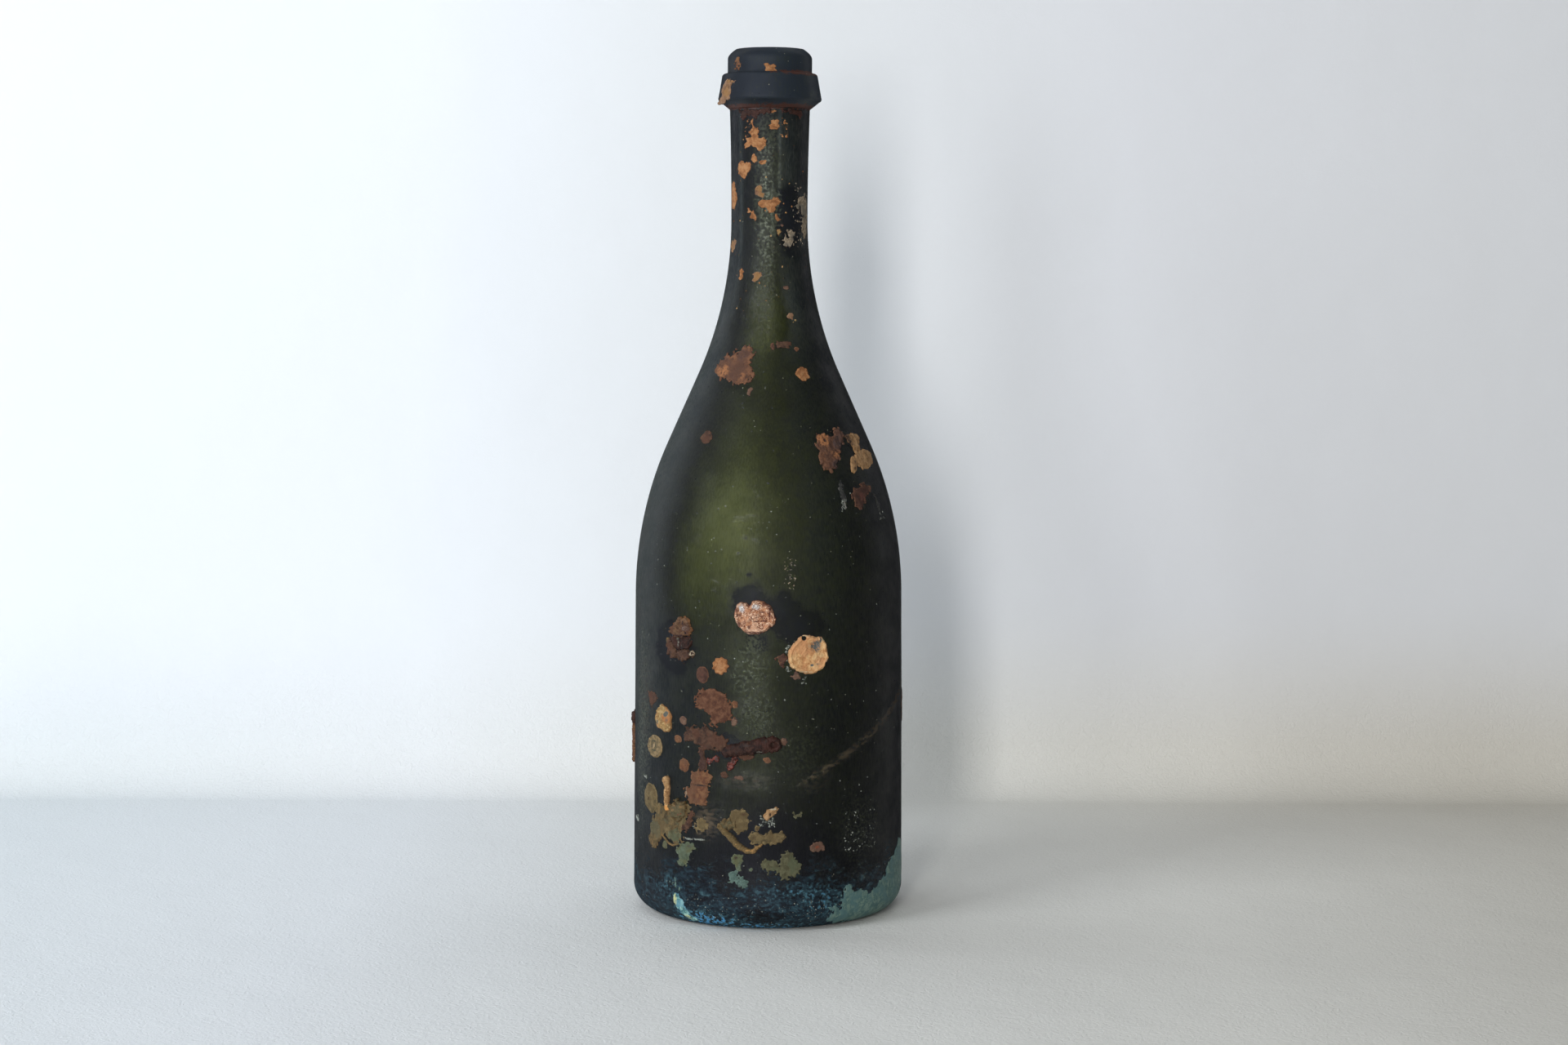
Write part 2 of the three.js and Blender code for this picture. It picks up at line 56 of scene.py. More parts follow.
def linear(colour: Colour) -> Shader:
    """Turns a colour as seen into the value that a shader takes.

    Args:
        colour: red, green and blue from 0 to 255.

    Returns:
        Linear red, green and blue, and an alpha of 1.
    """
    parts = [c / 255 for c in colour]
    lit = [c / 12.92 if c <= 0.04045 else ((c + 0.055) / 1.055) ** 2.4 for c in parts]
    return (lit[0], lit[1], lit[2], 1.0)


def ramped(away: np.ndarray, length: float) -> np.ndarray:
    """Rises from 0 where `away` is 0 to 1 where it is `length`, and is level beyond them."""
    return np.clip(away / length, 0, 1)


def hump(away: np.ndarray, width: float) -> np.ndarray:
    """A smooth hump: 1 where `away` is 0, and near 0 from twice the width."""
    return np.exp(-((away / width) ** 2))


@dataclass(frozen=True)
class Noise:
    """Smooth seeded noise on points in space."""

    seed: int

    def _corner(self, x: np.ndarray, y: np.ndarray, z: np.ndarray) -> np.ndarray:
        """Chance values at whole-numbered points.

        Args:
            x: first coordinates.
            y: second coordinates.
            z: third coordinates.

        Returns:
            A value from -1 to 1 for each point.
        """
        mixed = x * 374761393 + y * 668265263 + z * 1442695041 + self.seed * 9176501
        mixed = mixed & 0xFFFFFFFF
        mixed = ((mixed ^ (mixed >> 13)) * 1274126177) & 0xFFFFFFFF
        mixed = ((mixed ^ (mixed >> 15)) * 2246822519) & 0xFFFFFFFF
        return ((mixed ^ (mixed >> 16)) / 0x7FFFFFFF) - 1.0

    def smooth(self, points: np.ndarray) -> np.ndarray:
        """Noise of one size at some points.

        Args:
            points: rows of three coordinates, one unit to a wave.

        Returns:
            Values from -1 to 1.
        """
        whole = np.floor(points).astype(np.int64)
        part = points - whole
        part = part**3 * (part * (part * 6 - 15) + 10)
        total = np.zeros(len(points))
        for corner in range(8):
            step = [(corner >> axis) & 1 for axis in range(3)]
            share = np.ones(len(points))
            for axis in range(3):
                share = share * (part[:, axis] if step[axis] else 1 - part[:, axis])
            total += share * self._corner(*(whole[:, axis] + step[axis] for axis in range(3)))
        return total

    def rough(self, points: np.ndarray, size: float, octaves: int) -> np.ndarray:
        """Noise of several sizes at once.

        Args:
            points: rows of three coordinates.
            size: length of the largest wave, in the points' unit.
            octaves: how many sizes, each half the last.

        Returns:
            Values from about -1 to 1.
        """
        total = np.zeros(len(points))
        for octave in range(octaves):
            total += self.smooth(points * (2**octave / size) + 17.3 * octave) * 0.5**octave
        return total / 1.4


@dataclass(frozen=True)
class BottleShape:
    """The glass in millimetres, as in the CAD model."""

    body_radius: float = 47.5
    wall_taper: float = 0.7
    wall_height: float = 110.7
    shoulder_radius: float = 129.5
    shoulder_lean: float = math.radians(23.84)
    throat_radius: float = 130.3
    neck_radius: float = 13.3
    neck_flare: float = 0.6
    neck_length: float = 38.2
    glass_wall: float = 4.4
    heel_radius: float = 8.5
    resting_width: float = 4.0
    punt_depth: float = 30.0
    punt_wall: float = 7.0
    floor_thickness: float = 8.0
    trough_radius: float = 6.0
    neck_end_taper: float = 1.7
    neck_end_cone: float = 3.6
    rim_height: float = 12.1
    lip_height: float = 8.4
    lip_overlap: float = 5.0
    wobble_depth: float = 0.192
    wobble_wave: float = 34.0
    wobble_ring: float = 30.0
    wobble_slack: float = 0.6

    @property
    def wall_top_radius(self) -> float:
        """Radius where the shoulder begins."""
        return self.body_radius - self.wall_taper

    @property
    def neck_foot(self) -> float:
        """Height where the hollow arc ends and the neck begins."""
        arcs = self.shoulder_radius + self.throat_radius
        across = self.wall_top_radius - self.neck_radius - arcs * (1 - math.cos(self.shoulder_lean))
        slope = across / math.sin(self.shoulder_lean)
        rise = arcs * math.sin(self.shoulder_lean) + slope * math.cos(self.shoulder_lean)
        return self.wall_height + rise

    @property
    def rim_foot(self) -> float:
        """Height of the string rim's underside at the neck."""
        return self.neck_foot + self.neck_length

    @property
    def rim_top(self) -> float:
        """Height where the lip stands on the string rim."""
        return self.rim_foot + self.rim_height

    @property
    def height(self) -> float:
        """Height of the mouth."""
        return self.rim_top + self.lip_height

    @property
    def bore(self) -> float:
        """Radius inside the neck."""
        return self.neck_radius - self.glass_wall

    @property
    def neck_top_radius(self) -> float:
        """Radius of the neck under the string rim."""
        return self.neck_radius + self.neck_flare

    @property
    def neck_end_radius(self) -> float:
        """Radius of the neck's end, inside the string rim and the lip."""
        return self.neck_top_radius - self.neck_end_taper

    def side_radius(self, z: np.ndarray, inset: float = 0.0) -> np.ndarray:
        """Radius of the side at some heights.

        Args:
            z: heights.
            inset: how far inside the outer surface.

        Returns:
            One radius for each height.
        """
        z = np.asarray(z, float)
        lean = self.shoulder_lean
        shoulder = self.shoulder_radius - inset
        throat = self.throat_radius + inset
        top = self.wall_top_radius - inset
        share = (z - self.heel_radius) / (self.wall_height - self.heel_radius)
        wall = self.body_radius - inset - self.wall_taper * share
        above = np.clip(z - self.wall_height, 0, shoulder * math.sin(lean))
        arc_side = top - shoulder + np.sqrt(shoulder**2 - above**2)
        arc_end = self.wall_height + shoulder * math.sin(lean)
        slope = top - shoulder * (1 - math.cos(lean)) - (z - arc_end) * math.tan(lean)
        below = np.clip(self.neck_foot - z, 0, throat * math.sin(lean))
        hollow = self.neck_radius - inset + throat - np.sqrt(throat**2 - below**2)
        hollow_start = self.neck_foot - throat * math.sin(lean)
        rise = np.clip((z - self.neck_foot) / self.neck_length, 0, 1.2)
        neck = self.neck_radius - inset + (0.0 if inset else self.neck_flare) * rise**2
        return np.select(
            [z <= self.wall_height, z <= arc_end, z <= hollow_start, z <= self.neck_foot],
            [wall, arc_side, slope, hollow],
            neck,
        )

    def outer_radius(self, z: np.ndarray) -> np.ndarray:
        """Radius of the outer surface, the heel's rounding with it.

        Args:
            z: heights.

        Returns:
            One radius for each height.
        """
        z = np.asarray(z, float)
        drop = np.clip(self.heel_radius - z, 0, self.heel_radius)
        rounding = self.heel_radius - np.sqrt(self.heel_radius**2 - drop**2)
        return self.side_radius(np.maximum(z, self.heel_radius)) - rounding

    def wobble(self, bearing: np.ndarray, z: np.ndarray) -> np.ndarray:
        """How far the hand-blown surface strays from a true body of revolution.

        Args:
            bearing: angles round the axis from the front, in radians.
            z: heights.

        Returns:
            Distances outwards.
        """
        around = [self.wobble_ring * np.sin(bearing), self.wobble_ring * np.cos(bearing)]
        places = np.stack([*around, z * self.wobble_slack], axis=-1).reshape(-1, 3)
        shape = Noise(5).rough(places, self.wobble_wave, 2).reshape(np.shape(z))
        return self.wobble_depth * shape * (ramped(z - 1, 14) * ramped(self.rim_foot - z, 12))


SHAPE = BottleShape()


class Seat(Enum):
    """The surface that a growth sits on."""

    GLASS = "glass"
    RIM = "rim"
    LIP = "lip"

    def radius(self, z: np.ndarray) -> np.ndarray:
        """Radius of that surface.

        Args:
            z: heights.

        Returns:
            One radius for each height.
        """
        z = np.asarray(z, float)
        if self is Seat.RIM:
            foot = StringRim.undercut + StringRim.rounding
            side = SHAPE.rim_height - foot - StringRim.rounding
            rise = np.clip((z - SHAPE.rim_foot - foot) / side, -0.5, 1.1)
            return StringRim.reach - (StringRim.reach - StringRim.top_reach) * rise
        if self is Seat.LIP:
            return np.full(z.shape, LipRing.radius)
        return SHAPE.outer_radius(z)

    def place(
        self, across: np.ndarray, up: np.ndarray, lift: np.ndarray, middle: float
    ) -> np.ndarray:
        """Puts points on the surface, or off it.

        Args:
            across: distances round the surface from the front line, measured at `middle`.
            up: heights.
            lift: distances off the surface, along its normal.
            middle: the height at which `across` is measured.

        Returns:
            Rows of x, y and z in millimetres.
        """
        bearing = across / float(self.radius(np.array([middle]))[0])
        radius = self.radius(up)
        lean = np.arctan2(self.radius(up + 0.5) - self.radius(up - 0.5), 1.0)
        if self is Seat.GLASS:
            radius = radius + SHAPE.wobble(bearing, up)
        reach = radius + lift * np.cos(lean)
        height = up - lift * np.sin(lean)
        return np.stack([reach * np.sin(bearing), -reach * np.cos(bearing), height], axis=-1)


class Nodes:
    """The shader nodes of a material or of the world, added step by step."""

    def __init__(self, owner: bpy.types.Material | bpy.types.World) -> None:
        """Starts with no nodes.

        Args:
            owner: the material or the world.
        """
        owner.use_nodes = True
        self.tree = owner.node_tree
        self.tree.nodes.clear()

    def feed(self, node: bpy.types.Node, inputs: dict[int | str, Any]) -> None:
        """Links a node's inputs to sockets, or sets them to plain values.

        Args:
            node: the node.
            inputs: an output socket, a number or a colour by the input's name or place.
        """
        for key, value in inputs.items():
            if isinstance(value, bpy.types.NodeSocket):
                self.tree.links.new(value, node.inputs[key])
            else:
                node.inputs[key].default_value = value

    def add(
        self, kind: str, inputs: dict[int | str, Any] | None = None, **settings: Any
    ) -> bpy.types.Node:
        """Adds a node.

        Args:
            kind: the shader node's type.
            inputs: what its inputs get, as for feed.
            settings: its properties.

        Returns:
            The node.
        """
        node = self.tree.nodes.new("ShaderNode" + kind)
        for key, value in settings.items():
            setattr(node, key, value)
        self.feed(node, inputs or {})
        return node


class Graph(Nodes):
    """A material's nodes, with the patterns and the arithmetic that the finishes share."""

    def __init__(self, name: str) -> None:
        """Starts a material with its output and its principled shader.

        Args:
            name: the material's name.
        """
        self.material = bpy.data.materials.new(name)
        super().__init__(self.material)
        self.surface = self.add("BsdfPrincipled")
        self.output = self.add("OutputMaterial", {"Surface": self.surface.outputs[0]})
        self.place = self.add("TexCoord").outputs["Object"]

    def noise(
        self, size: float, detail: float = 3.0, stretch: float = 1.0, skew: float = 0.0
    ) -> Any:
        """Cloudy noise.

        Args:
            size: length of a wave in millimetres.
            detail: how many finer waves are added.
            stretch: how much longer the waves are along the axis.
            skew: warps the pattern.

        Returns:
            A socket with values about 0.5.
        """
        place = self.place
        if stretch != 1.0:
            place = self.add("Mapping", {"Vector": place, "Scale": (1, 1, 1 / stretch)}).outputs[0]
        inputs = {"Vector": place, "Scale": 1 / (size * MM), "Detail": detail, "Distortion": skew}
        return self.add("TexNoise", inputs).outputs["Fac"]

    def dots(self, size: float, near: float, far: float) -> Any:
        """Scattered dots.

        Args:
            size: width of the cells in millimetres, each with a dot in its middle.
            near: how far a dot is full, as a share of the cell.
            far: how far it reaches.

        Returns:
            A socket with 1 in the dots and 0 between them.
        """
        cells = self.add("TexVoronoi", {"Vector": self.place, "Scale": 1 / (size * MM)})
        return self.span(cells.outputs["Distance"], near, far, 1.0, 0.0)

    def attribute(self, name: str) -> Any:
        """A number that the mesh holds at each of its points."""
        return self.add("Attribute", attribute_name=name).outputs["Fac"]

    def span(
        self, value: Any, low: float, high: float, to_low: float = 0.0, to_high: float = 1.0
    ) -> Any:
        """Stretches a range of values smoothly onto another, cut off at its ends.

        Args:
            value: the socket.
            low: start of its range.
            high: end of its range.
            to_low: what the start becomes.
            to_high: what the end becomes.

        Returns:
            The new socket.
        """
        ends = {"From Min": low, "From Max": high, "To Min": to_low, "To Max": to_high}
        node = self.add("MapRange", {"Value": value, **ends}, interpolation_type="SMOOTHSTEP")
        return node.outputs["Result"]

    def math(self, operation: str, first: Any, second: Any) -> Any:
        """Arithmetic on two values, each a socket or a number; a sum is kept from 0 to 1."""
        settings = {"operation": operation, "use_clamp": operation == "ADD"}
        return self.add("Math", {0: first, 1: second}, **settings).outputs[0]

    def times(self, first: Any, second: Any) -> Any:
        """The product of two values, each a socket or a number."""
        return self.math("MULTIPLY", first, second)

    def varied(self, name: str, pattern: Any, low: float, high: float, amount: float) -> Any:
        """One of the mesh's numbers, raised and lowered by a pattern.

        Args:
            name: the mesh's attribute.
            pattern: the pattern's socket.
            low: start of its range.
            high: end of its range.
            amount: how far it raises and lowers the number.

        Returns:
            A socket with values from 0 to 1.
        """
        change = self.span(pattern, low, high, -amount, amount)
        return self.math("ADD", self.attribute(name), change)

    def ramp(self, value: Any, stops: Stops) -> Any:
        """Turns a value into a colour.

        Args:
            value: the socket.
            stops: places from 0 to 1 and the colours there.

        Returns:
            A colour socket.
        """
        node = self.add("ValToRGB", {0: value})
        elements = node.color_ramp.elements
        while len(elements) < len(stops):
            elements.new(0.5)
        for element, (place, colour) in zip(elements, stops):
            element.position = place
            element.color = linear(colour)
        return node.outputs["Color"]

    def blend(self, share: Any, first: Any, second: Any) -> Any:
        """Mixes two colours or patterns.

        Args:
            share: how much of the second, as a socket or a number.
            first: a socket or a colour.
            second: a socket or a colour.

        Returns:
            A socket.
        """
        pair = [linear(side) if isinstance(side, tuple) else side for side in (first, second)]
        return self.add("Mix", {0: share, 6: pair[0], 7: pair[1]}, data_type="RGBA").outputs[2]

    def relief(self, height: Any, depth: float, under: Any = None) -> Any:
        """A bump.

        Args:
            height: the socket with the height.
            depth: how deep the bump is in millimetres.
            under: the normal of a coarser bump.

        Returns:
            A normal socket.
        """
        inputs = {"Strength": 1.0, "Distance": depth * MM, "Height": height}
        if under is not None:
            inputs["Normal"] = under
        return self.add("Bump", inputs).outputs[0]


@dataclass(frozen=True)
class SeaWornGlass:
    """Dark olive glass, etched to satin by the sea, with films, stains, a blue-bloomed foot, painted
    highlights and shade.
    """

    name: str = "sea_worn_glass"
    slot: str = "green_glass"
    density: float = 800.0
    hue: Shader = (0.7, 0.71, 0.38, 1.0)
    index: float = 1.34
    gloss_tint: Shader = (0.75, 0.75, 0.92, 1.0)
    worn_roughness: float = 0.56
    inner_roughness: float = 0.25
    edge_roughness: float = 0.4
    film: Stops = (
        (0.0, (236, 238, 228)), (0.25, (158, 161, 152)), (0.5, (107, 111, 104)),
        (0.75, (71, 77, 74)), (0.9, (42, 49, 50)), (1.0, (38, 46, 54)))
    bloom: Stops = (
        (0.38, (14, 23, 30)), (0.5, (23, 38, 46)), (0.6, (33, 54, 63)), (0.72, (60, 90, 98)))
    foam: Stops = ((0.2, (52, 84, 94)), (0.6, (76, 116, 128)), (1.0, (72, 138, 184)))
    stain: Colour = (33, 37, 43)
    stipple_and_highlight: Colour = (126, 132, 114)
    rust: Colour = (76, 48, 38)
    silt: Colour = (112, 98, 78)
    speck: Colour = (172, 170, 150)

    def build(self) -> bpy.types.Material:
        """Makes the material.

        Returns:
            The material.
        """
        graph = Graph(self.name)
        cloud = graph.noise(9.0, 4.0)
        mist = graph.noise(0.9)
        smear = graph.noise(2.4, 6.0, stretch=0.5, skew=0.8)
        wear = graph.blend(0.5, cloud, graph.noise(0.5, stretch=5.0))
        drift = graph.blend(0.5, graph.noise(8.0, 4.0), smear)
        froth = graph.span(graph.noise(1.1, 6.0), 0.4, 0.7)
        sand = graph.span(graph.noise(2.0, 4.0, stretch=0.5), 0.3, 0.7)
        speckled = graph.span(graph.noise(6.0, 2.0), 0.48, 0.6)
        pitted = graph.span(graph.noise(5.0, 2.0), 0.4, 0.55)

        film = graph.varied("film", wear, 0.3, 0.7, 0.14)
        stain = graph.span(graph.varied("stain", graph.noise(5.0), 0.25, 0.75, 0.1), 0.08, 1.15)
        silt = graph.times(graph.attribute("silt"), sand)
        bloom = graph.span(graph.varied("bloom", drift, 0.3, 0.7, 0.35), 0.2, 0.95)
        foam = graph.times(graph.attribute("foam"), froth)
        # The stipple's whitish colour also paints satin highlights on the neck and on the wall.
        stipple_and_highlight = graph.times(graph.attribute("stipple_and_highlight"), graph.span(mist, 0.4, 0.72, 0.03, 0.38))
        rust = graph.span(graph.varied("rust", graph.noise(1.3, 4.0), 0.2, 0.8, 0.3), 0.35, 0.65)
        speck = graph.times(graph.dots(2.2, 0.05, 0.1), speckled)
        pit = graph.times(graph.dots(2.9, 0.06, 0.12), pitted)

        tint = graph.ramp(film, self.film)
        # This haze also carries painted highlight lines and sheen on the neck and painted shade on
        # the finish.
        dull = graph.times(graph.attribute("haze"), graph.span(film, 0.4, 0.9))
        for layer, full, colour, cover in (
            (stain, 0.2, self.stain, 0.52),
            (silt, 0.5, self.silt, 0.6),
            (bloom, 0.4, graph.ramp(smear, self.bloom), 0.92),
            (foam, 0.9, graph.ramp(foam, self.foam), 0.9),
            (stipple_and_highlight, 0.12, self.stipple_and_highlight, 1.0),
            (rust, None, self.rust, 0.95),
            (speck, None, self.speck, 0.8),
            (pit, None, self.stain, 0.7),
        ):
            tint = graph.blend(graph.span(layer, 0.0, full) if full else layer, tint, colour)
            dull = graph.math("MAXIMUM", dull, graph.times(layer, cover))

        worn = graph.span(cloud, 0.3, 0.7, self.worn_roughness - 0.05, self.worn_roughness + 0.08)
        sides = {0: graph.attribute("worn"), 2: self.inner_roughness, 3: worn}
        rough = graph.add("Mix", sides, data_type="FLOAT").outputs[0]
        facing = graph.add("LayerWeight").outputs["Facing"]
        edge = graph.span(facing, 0.45, 0.85, 0.0, self.edge_roughness)
        graph.feed(graph.surface, {
            "Base Color": tint,
            "Transmission Weight": graph.math("SUBTRACT", 1.0, dull),
            "Roughness": graph.math("ADD", rough, edge),
            "IOR": self.index,
            "Specular Tint": self.gloss_tint,
            "Normal": graph.relief(speck, 0.06, graph.relief(mist, 0.03)),
        })
        body = graph.add("VolumeAbsorption", {"Color": self.hue, "Density": self.density})
        graph.feed(graph.output, {"Volume": body.outputs[0]})
        return graph.material


@dataclass(frozen=True)
class CrustFinish:
    """A dry mineral or coralline crust: mottled, grainy, with a thin edge line and spots."""

    name: str
    dark: Colour
    middle: Colour
    light: Colour
    rim: Colour
    slot: str
    second: Colour | None = None
    pale: Colour = (178, 164, 140)
    deep: Colour = (58, 46, 42)
    mottle: float = 1.7
    second_size: float = 4.5
    second_share: float = 0.85
    grain: float = 0.4
    pore_share: float = 0.5
    raised_share: float = 0.35
    rim_share: float = 0.75
    roughness: float = 0.9
    depth: float = 0.06
    gloss: float = 0.25

    def build(self) -> bpy.types.Material:
        """Makes the material.

        Returns:
            The material.
        """
        graph = Graph(self.name)
        mottle = graph.noise(self.mottle, 5.0, skew=0.4)
        grain = graph.noise(self.grain, 4.0)
        shades = ((0.42, self.dark), (0.5, self.middle), (0.58, self.light))
        colour = graph.ramp(graph.blend(0.35, mottle, grain), shades)
        if self.second is not None:
            cloud = graph.span(graph.noise(self.second_size), 0.46, 0.58, 0.0, self.second_share)
            colour = graph.blend(cloud, colour, self.second)
        pores = graph.dots(self.grain * 2.2, 0.05, 0.25)
        raised = graph.span(graph.attribute("relief"), 0.45, 0.9)
        rim = graph.span(graph.attribute("rim"), 0.3, 0.85)
        speckle = graph.span(graph.blend(0.5, mottle, grain), 0.4, 0.56, 0.3, 1.5)
        mark = graph.times(graph.attribute("mark"), speckle)
        for share, shade in (
            (graph.times(pores, self.pore_share), self.dark),
            (graph.times(raised, self.raised_share), self.light),
            (graph.times(rim, self.rim_share), self.rim),
            (graph.span(mark, 0.1, 0.9), self.pale),
            (graph.span(mark, -0.9, -0.1, 1.0, 0.0), self.deep),
        ):
            colour = graph.blend(share, colour, shade)
        smoothest, roughest = self.roughness - 0.08, min(1.0, self.roughness + 0.08)
        graph.feed(graph.surface, {
            "Base Color": colour,
            "Roughness": graph.span(grain, 0.3, 0.7, smoothest, roughest),
            "Specular IOR Level": self.gloss,
            "Normal": graph.relief(grain, self.depth, graph.relief(mottle, self.depth * 1.4)),
        })
        return graph.material


Finish = SeaWornGlass | CrustFinish


@cache
def material(finish: Finish) -> bpy.types.Material:
    """The finish's material, made the first time that it is asked for."""
    return finish.build()


def made_object(
    name: str, points: np.ndarray, faces: Sequence[Sequence[int]], facts: dict[str, np.ndarray]
) -> bpy.types.Object:
    """Adds a smooth mesh.

    Args:
        name: the object's name.
        points: rows of x, y and z in millimetres.
        faces: each face's points.
        facts: numbers for the points, kept as attributes.

    Returns:
        The object.
    """
    mesh = bpy.data.meshes.new(name)
    mesh.from_pydata((points * MM).tolist(), [], faces)
    for key, values in facts.items():
        held = mesh.attributes.new(key, "FLOAT", "POINT")
        held.data.foreach_set("value", values.astype(np.float32))
    mesh.shade_smooth()
    piece = bpy.data.objects.new(name, mesh)
    bpy.context.scene.collection.objects.link(piece)
    return piece


def dressed(piece: bpy.types.Object, finish: Finish, node: str = "") -> bpy.types.Object:
    """Gives a piece its finish, and has it ride the bottle and stand for its CAD node.

    Args:
        piece: the piece.
        finish: its finish.
        node: the CAD node, if there is one.

    Returns:
        The piece.
    """
    piece.data.materials.append(material(finish))
    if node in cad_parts:
        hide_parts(node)
    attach(piece, "root")
    return piece


def distance_inside(points: np.ndarray, outline: np.ndarray) -> np.ndarray:
    """Distance from each point to a closed outline, positive inside it.

    Args:
        points: rows of two coordinates.
        outline: the outline's corners in order.

    Returns:
        One distance for each point.
    """
    runs = np.roll(outline, -1, axis=0) - outline
    away = points[:, None, :] - outline[None]
    share = np.clip((away * runs).sum(-1) / np.maximum((runs**2).sum(-1), 1e-12), 0, 1)
    gap = np.linalg.norm(away - share[..., None] * runs, axis=-1).min(1)
    above = outline[None, :, 1] > points[:, None, 1]
    next_above = np.roll(above, -1, axis=1)
    with np.errstate(divide="ignore", invalid="ignore"):
        crossing = outline[:, 0] + (points[:, 1:] - outline[:, 1]) * runs[:, 0] / runs[:, 1]
    hits = (above != next_above) & (points[:, :1] < crossing)
    return np.where(hits.sum(1) % 2 == 1, gap, -gap)


def rounded(outline: Outline, passes: int) -> np.ndarray:
    """Rounds an outline's corners by cutting them off again and again.

    Args:
        outline: its corners.
        passes: how many times each corner is cut.

    Returns:
        The rounder outline's corners.
    """
    corners = np.array(outline, float)
    for _ in range(passes):
        after = np.roll(corners, -1, axis=0)
        cut = [0.75 * corners + 0.25 * after, 0.25 * corners + 0.75 * after]
        corners = np.stack(cut, axis=1).reshape(-1, 2)
    return corners


def disc(width: float, height: float = 0.0, lobes: int = 0, depth: float = 0.0) -> Outline:
    """The outline of a round or oval growth, with scallops if it has lobes.

    Args:
        width: across, in millimetres.
        height: up, or 0 for a round one.
        lobes: how many scallops.
        depth: how deep they are, as a share of the radius.

    Returns:
        The outline's corners.
    """
    steps = max(14, lobes * 4)
    corners = []
    for step in range(steps):
        angle = 2 * math.pi * step / steps
        share = 1 + depth * math.cos(lobes * angle)
        across, up = width / 2 * share, (height or width) / 2 * share
        corners.append((across * math.cos(angle), up * math.sin(angle)))
    return corners


def trace(text: str) -> Outline:
    """Reads an outline that was traced in tenths of a millimetre.

    Args:
        text: the corners, each with its numbers joined by commas.

    Returns:
        The corners in millimetres.
    """
    return [tuple(float(number) / 10 for number in corner.split(",")) for corner in text.split()]


@dataclass(frozen=True)
class Mark:
    """A spot of another shade on a growth, from its centre. Sizes are in millimetres."""

    across: float
    up: float
    wide: float
    high: float
    shade: float
    sink: float = 0.0

    def at(self, points: np.ndarray) -> np.ndarray:
        """How strong the spot is at each row of across and up: 1 in it, 0 away from it."""
        away = (points - (self.across, self.up)) / (self.wide, self.high)
        return np.exp(-((away**2).sum(1) ** 1.5))


def spots(text: str) -> tuple[Mark, ...]:
    """Reads marks from a text like an outline's, with a mark's numbers for each corner's."""
    return tuple(Mark(*numbers) for numbers in trace(text))


class Habit(Enum):
    """How a growth rises from the glass."""

    MAT = "mat"
    DISC = "disc"
    DOME = "dome"
    CRAG = "crag"
    OYSTER = "oyster"
    BARNACLE = "barnacle"
    FILM = "film"
    TUBE = "tube"


@dataclass(frozen=True)
class Ground:
    """The places that a growth may cover, with the noises that roughen it there.

    Attributes:
        points: rows of across and up, from the growth's centre.
        coarse: noise of about two millimetres.
        fine: noise of about half a millimetre.
    """

    points: np.ndarray
    coarse: np.ndarray
    fine: np.ndarray

    @classmethod
    def around(cls, points: np.ndarray, seed: int) -> "Ground":
        """Lays the noises over some points.

        Args:
            points: rows of across and up.
            seed: a number of the growth's own.

        Returns:
            The ground.
        """
        noise = Noise(seed)
        flat = np.column_stack([points, np.full(len(points), 0.37)])
        return cls(points, noise.rough(flat, 2.6, 3), noise.rough(flat + 31.0, 0.9, 2))

    def oyster(self, depth: np.ndarray) -> np.ndarray:
        """A shell's lower valve: a thick frilled rim, a hollow floor and a curled fold across it.

        Args:
            depth: distances inside the outline.

        Returns:
            Heights as shares of the shell's thickness.
        """
        across, up = self.points.T
        fold_line = up + 0.9 - 1.5 * np.cos(across * 0.62)
        fold = hump(fold_line, 0.75) * np.clip(1 - np.abs(across) / 6.2, 0, 1)
        frill = 0.12 * np.sin(depth * 7.0 + 3 * self.coarse)
        lip = hump(depth - 0.9, 0.7)
        return 0.5 + 0.42 * lip + 0.38 * fold + 0.16 * self.coarse + 0.12 * self.fine + frill

    def barnacle(self, depth: np.ndarray) -> np.ndarray:
        """A barnacle's base plate: a bevelled rim, growth rings and a socket.

        Args:
            depth: distances inside the outline.

        Returns:
            Heights as shares of the plate's thickness.
        """
        across, up = self.points.T
        socket = hump(np.hypot(across - 1.9, up - 2.8), 1.5)
        rings = 0.03 * np.cos(2 * math.pi * depth / 0.9)
        lip = hump(depth - 0.8, 0.55)
        body = 0.62 + 0.3 * lip + 0.2 * self.coarse + 0.1 * self.fine - 0.3 * socket
        return np.clip(body + rings, 0.03, 1.4)


